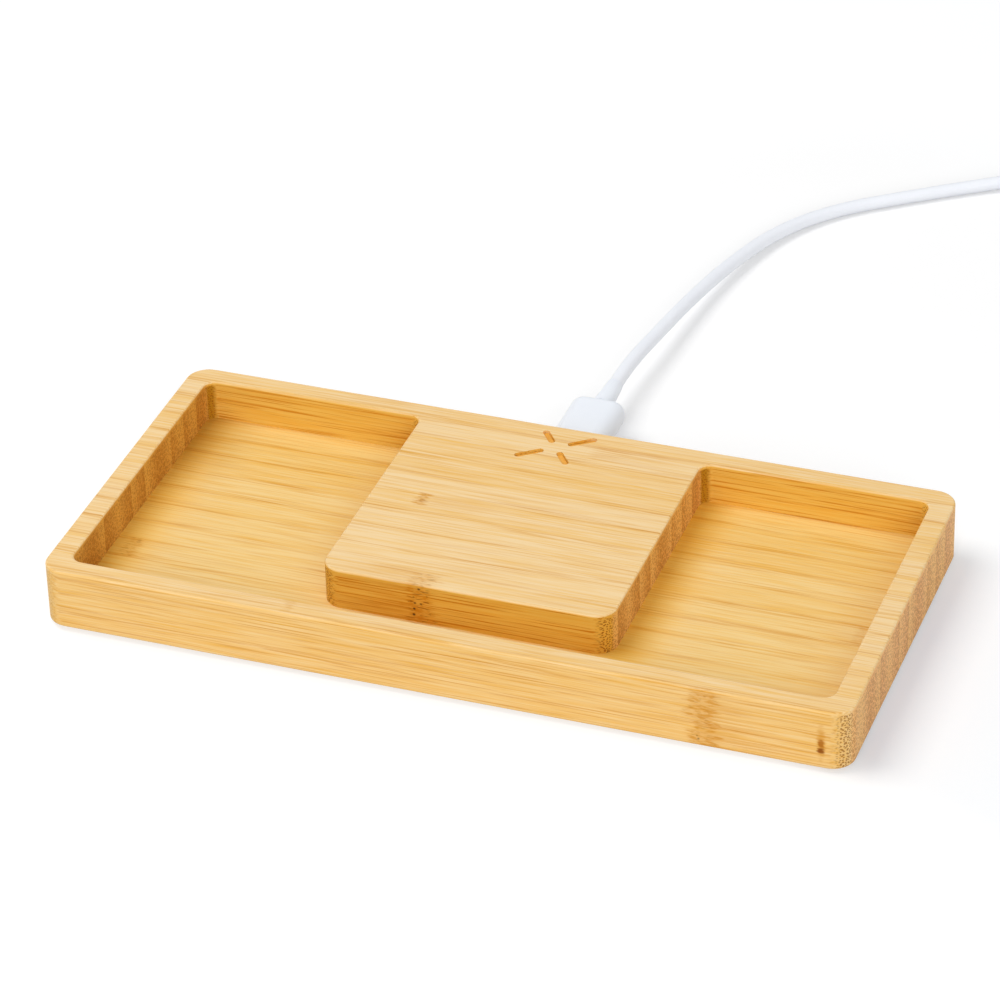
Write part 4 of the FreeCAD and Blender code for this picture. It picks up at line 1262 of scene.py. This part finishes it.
@dataclass
class TieStrap:
    """Hook-and-loop strap round the coil, its end lapped over the top."""

    finishes: Finishes
    thickness: float = 0.0006
    corner: float = 0.0012
    corner_steps: int = 6
    step: float = 0.0007
    lap_lift: float = 0.00062
    tip_lift: float = 0.0001
    start_share: float = 0.42
    lap_shares: Pair = (0.3, 0.6)
    end_share: float = 0.84
    tip_round: float = 0.0016
    width_steps: int = 8
    cloth_share: float = 0.94
    edge: float = 0.00012
    smooth_angle: float = 60.0

    def route(self) -> List[Pair]:
        """Lead the strap once round the bundle and over its own start.

        Returns:
            Points across the bundle and up.
        """
        low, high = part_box("cable_tie")
        half = self.thickness / 2
        y0, y1, z0, z1 = low.y + half, high.y - half, low.z + half, high.z - half
        span, turn = y1 - y0, self.corner
        corners = (
            ((y0 + turn, z1 - turn), 90.0),
            ((y0 + turn, z0 + turn), 180.0),
            ((y1 - turn, z0 + turn), 270.0),
            ((y1 - turn, z1 - turn), 360.0),
        )
        keys = [(y1 - self.start_share * span, z1)]
        for centre, first in corners:
            keys += quarter(centre, turn, first, self.corner_steps)
        lapped = z1 + self.lap_lift
        keys += [(y1 - share * span, lapped) for share in self.lap_shares]
        keys.append((y1 - self.end_share * span, lapped + self.tip_lift))
        points = [keys[0]]
        for (ya, za), (yb, zb) in zip(keys, keys[1:]):
            count = max(1, round(math.hypot(yb - ya, zb - za) / self.step))
            points += [(ya + (yb - ya) * k / count, za + (zb - za) * k / count) for k in range(1, count + 1)]
        return points

    def build(self) -> bpy.types.Object:
        """Make the strap.

        Returns:
            The strap's piece.
        """
        low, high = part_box("cable_tie")
        middle, half_width = (low.x + high.x) / 2, (high.x - low.x) / 2
        route = self.route()
        gone = [0.0]
        for (ya, za), (yb, zb) in zip(route, route[1:]):
            gone.append(gone[-1] + math.hypot(yb - ya, zb - za))
        mesh = bmesh.new()
        laid = mesh.loops.layers.uv.new("laid")
        rows, places = [], {}
        for (y, z), far in zip(route, gone):
            past = max(0.0, far - (gone[-1] - self.tip_round)) / self.tip_round
            reach = half_width - self.tip_round * (1 - math.sqrt(max(0.0, 1 - past * past)))
            row = []
            for index in range(self.width_steps + 1):
                across = reach * (2 * index / self.width_steps - 1)
                vertex = mesh.verts.new((middle + across, y, z))
                places[vertex] = (far * MM_PER_METRE, across * MM_PER_METRE)
                row.append(vertex)
            rows.append(row)
        for here, there in zip(rows, rows[1:]):
            for index in range(self.width_steps):
                face = mesh.faces.new((here[index], there[index], there[index + 1], here[index + 1]))
                for loop in face.loops:
                    loop[laid].uv = places[loop.vert]
        piece = finish_piece("tie_strap", mesh, self.smooth_angle)
        solid = piece.modifiers.new("thickness", "SOLIDIFY")
        solid.thickness = self.thickness * self.cloth_share
        solid.offset = 0.0
        eased = piece.modifiers.new("eased_edges", "BEVEL")
        eased.width = self.edge
        eased.segments = 2
        self.finishes.dress(piece, "tie_fabric")
        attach(piece, Body.CABLE.value)
        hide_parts("cable_tie")
        return piece


@dataclass
class FarPlug:
    """The standard plug at the cable's far end: bent sheet shell with its windows, and gold contacts."""

    finishes: Finishes
    wall: float = 0.0003
    corner: float = 0.0006
    corner_steps: int = 3
    window_near: float = 0.0018
    window_far: float = 0.0043
    window_front: float = 0.0052
    window_length: float = 0.0022
    contact_places: Tuple[float, ...] = (-0.0035, -0.001, 0.001, 0.0035)
    contact_width: float = 0.001
    contact_height: float = 0.00012
    contact_lengths: Tuple[float, ...] = (0.0086, 0.0076, 0.0076, 0.0086)
    contact_setback: float = 0.0009
    contact_edge: float = 0.00004
    window_row: int = 1
    level_within: float = 1e-7

    def section(self, half_x: float, half_z: float) -> List[Pair]:
        """Outline the shell's section, with points where its windows begin and end.

        Args:
            half_x: half its width.
            half_z: half its height.

        Returns:
            Points across and up, round the shell.
        """
        flats = (-self.window_far, -self.window_near, self.window_near, self.window_far)
        points: List[Pair] = []
        for number, (sx, sz) in enumerate(((1, 1), (-1, 1), (-1, -1), (1, -1))):
            centre = (sx * (half_x - self.corner), sz * (half_z - self.corner))
            points += quarter(centre, self.corner, 90.0 * number, self.corner_steps)
            if number == 0:
                points += [(x, half_z) for x in reversed(flats)]
            if number == 2:
                points += [(x, -half_z) for x in flats]
        return points

    def build_shell(self) -> bpy.types.Object:
        """Bend the shell from sheet.

        Returns:
            The shell's piece.
        """
        low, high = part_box("plug_a_shell")
        middle, half = (low + high) / 2, (high - low) / 2
        outline = self.section(half.x, half.z)
        stations = [low.y, low.y + self.window_front, low.y + self.window_front + self.window_length, high.y]
        mesh = bmesh.new()
        rings = [[mesh.verts.new((middle.x + x, y, middle.z + z)) for x, z in outline] for y in stations]
        count = len(outline)
        for number, (near, far) in enumerate(zip(rings, rings[1:])):
            for index in range(count):
                after = (index + 1) % count
                centre = (near[index].co.x + near[after].co.x) / 2 - middle.x
                flat = abs(near[index].co.z - near[after].co.z) < self.level_within
                if number == self.window_row and flat and self.window_near < abs(centre) < self.window_far:
                    continue
                mesh.faces.new((near[index], far[index], far[after], near[after]))
        bmesh.ops.recalc_face_normals(mesh, faces=list(mesh.faces))
        piece = finish_piece("plug_a_sheet", mesh)
        solid = piece.modifiers.new("sheet", "SOLIDIFY")
        solid.thickness = self.wall
        solid.offset = -1.0
        self.finishes.dress(piece, "shell_steel")
        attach(piece, Body.CABLE.value)
        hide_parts("plug_a_shell")
        return piece

    def build_contacts(self) -> bpy.types.Object:
        """Lay the four contacts on the insert.

        Returns:
            The contacts' piece.
        """
        low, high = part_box("plug_a_insert")
        middle = (low.x + high.x) / 2
        front = low.y + self.contact_setback
        bars = []
        for offset, length in zip(self.contact_places, self.contact_lengths):
            x0 = middle + offset - self.contact_width / 2
            foot = (x0, front, high.z - self.contact_height)
            bars.append((foot, (x0 + self.contact_width, front + length, high.z + self.contact_height)))
        piece = make_bars("plug_a_contacts", bars, self.contact_edge)
        self.finishes.dress(piece, "contact_gold")
        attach(piece, Body.CABLE.value)
        return piece


@dataclass
class Port:
    """The socket's contacts on its tongue."""

    finishes: Finishes
    pads: int = 12
    pitch: float = 0.0005
    width: float = 0.00026
    setback: float = 0.0006
    length: float = 0.0030
    height: float = 0.00003
    thickness: float = 0.0007
    edge: float = 0.00001

    def build(self) -> bpy.types.Object:
        """Lay the pads on both faces of the tongue.

        Returns:
            The pads' piece.
        """
        low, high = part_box("usb_receptacle_tongue")
        axis = (low.z + high.z) / 2
        tip = high.y - self.setback
        bars = []
        for side in (-1, 1):
            face = axis + side * self.thickness / 2
            for index in range(self.pads):
                x = (index - (self.pads - 1) / 2) * self.pitch
                foot = (x - self.width / 2, tip - self.length, face - self.height)
                bars.append((foot, (x + self.width / 2, tip, face + self.height)))
        piece = make_bars("port_contacts", bars, self.edge)
        self.finishes.dress(piece, "contact_gold")
        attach(piece, Body.TRAY.value)
        return piece


def main() -> None:
    """Build and dress everything in order."""
    logging.basicConfig(level=logging.INFO, format="%(name)s: %(message)s")
    Studio().build()
    finishes = Finishes()
    cord = Cord(finishes)
    cable = cord.build()
    LOG.info("%s: laid and coiled", cable.name)
    Solids(finishes).dress()
    strap = TieStrap(finishes).build()
    far_plug = FarPlug(finishes)
    shell = far_plug.build_shell()
    contacts = far_plug.build_contacts()
    pads = Port(finishes).build()
    for piece in (strap, shell, contacts, pads):
        LOG.info("%s: built", piece.name)


if __name__ == "__main__":
    main()
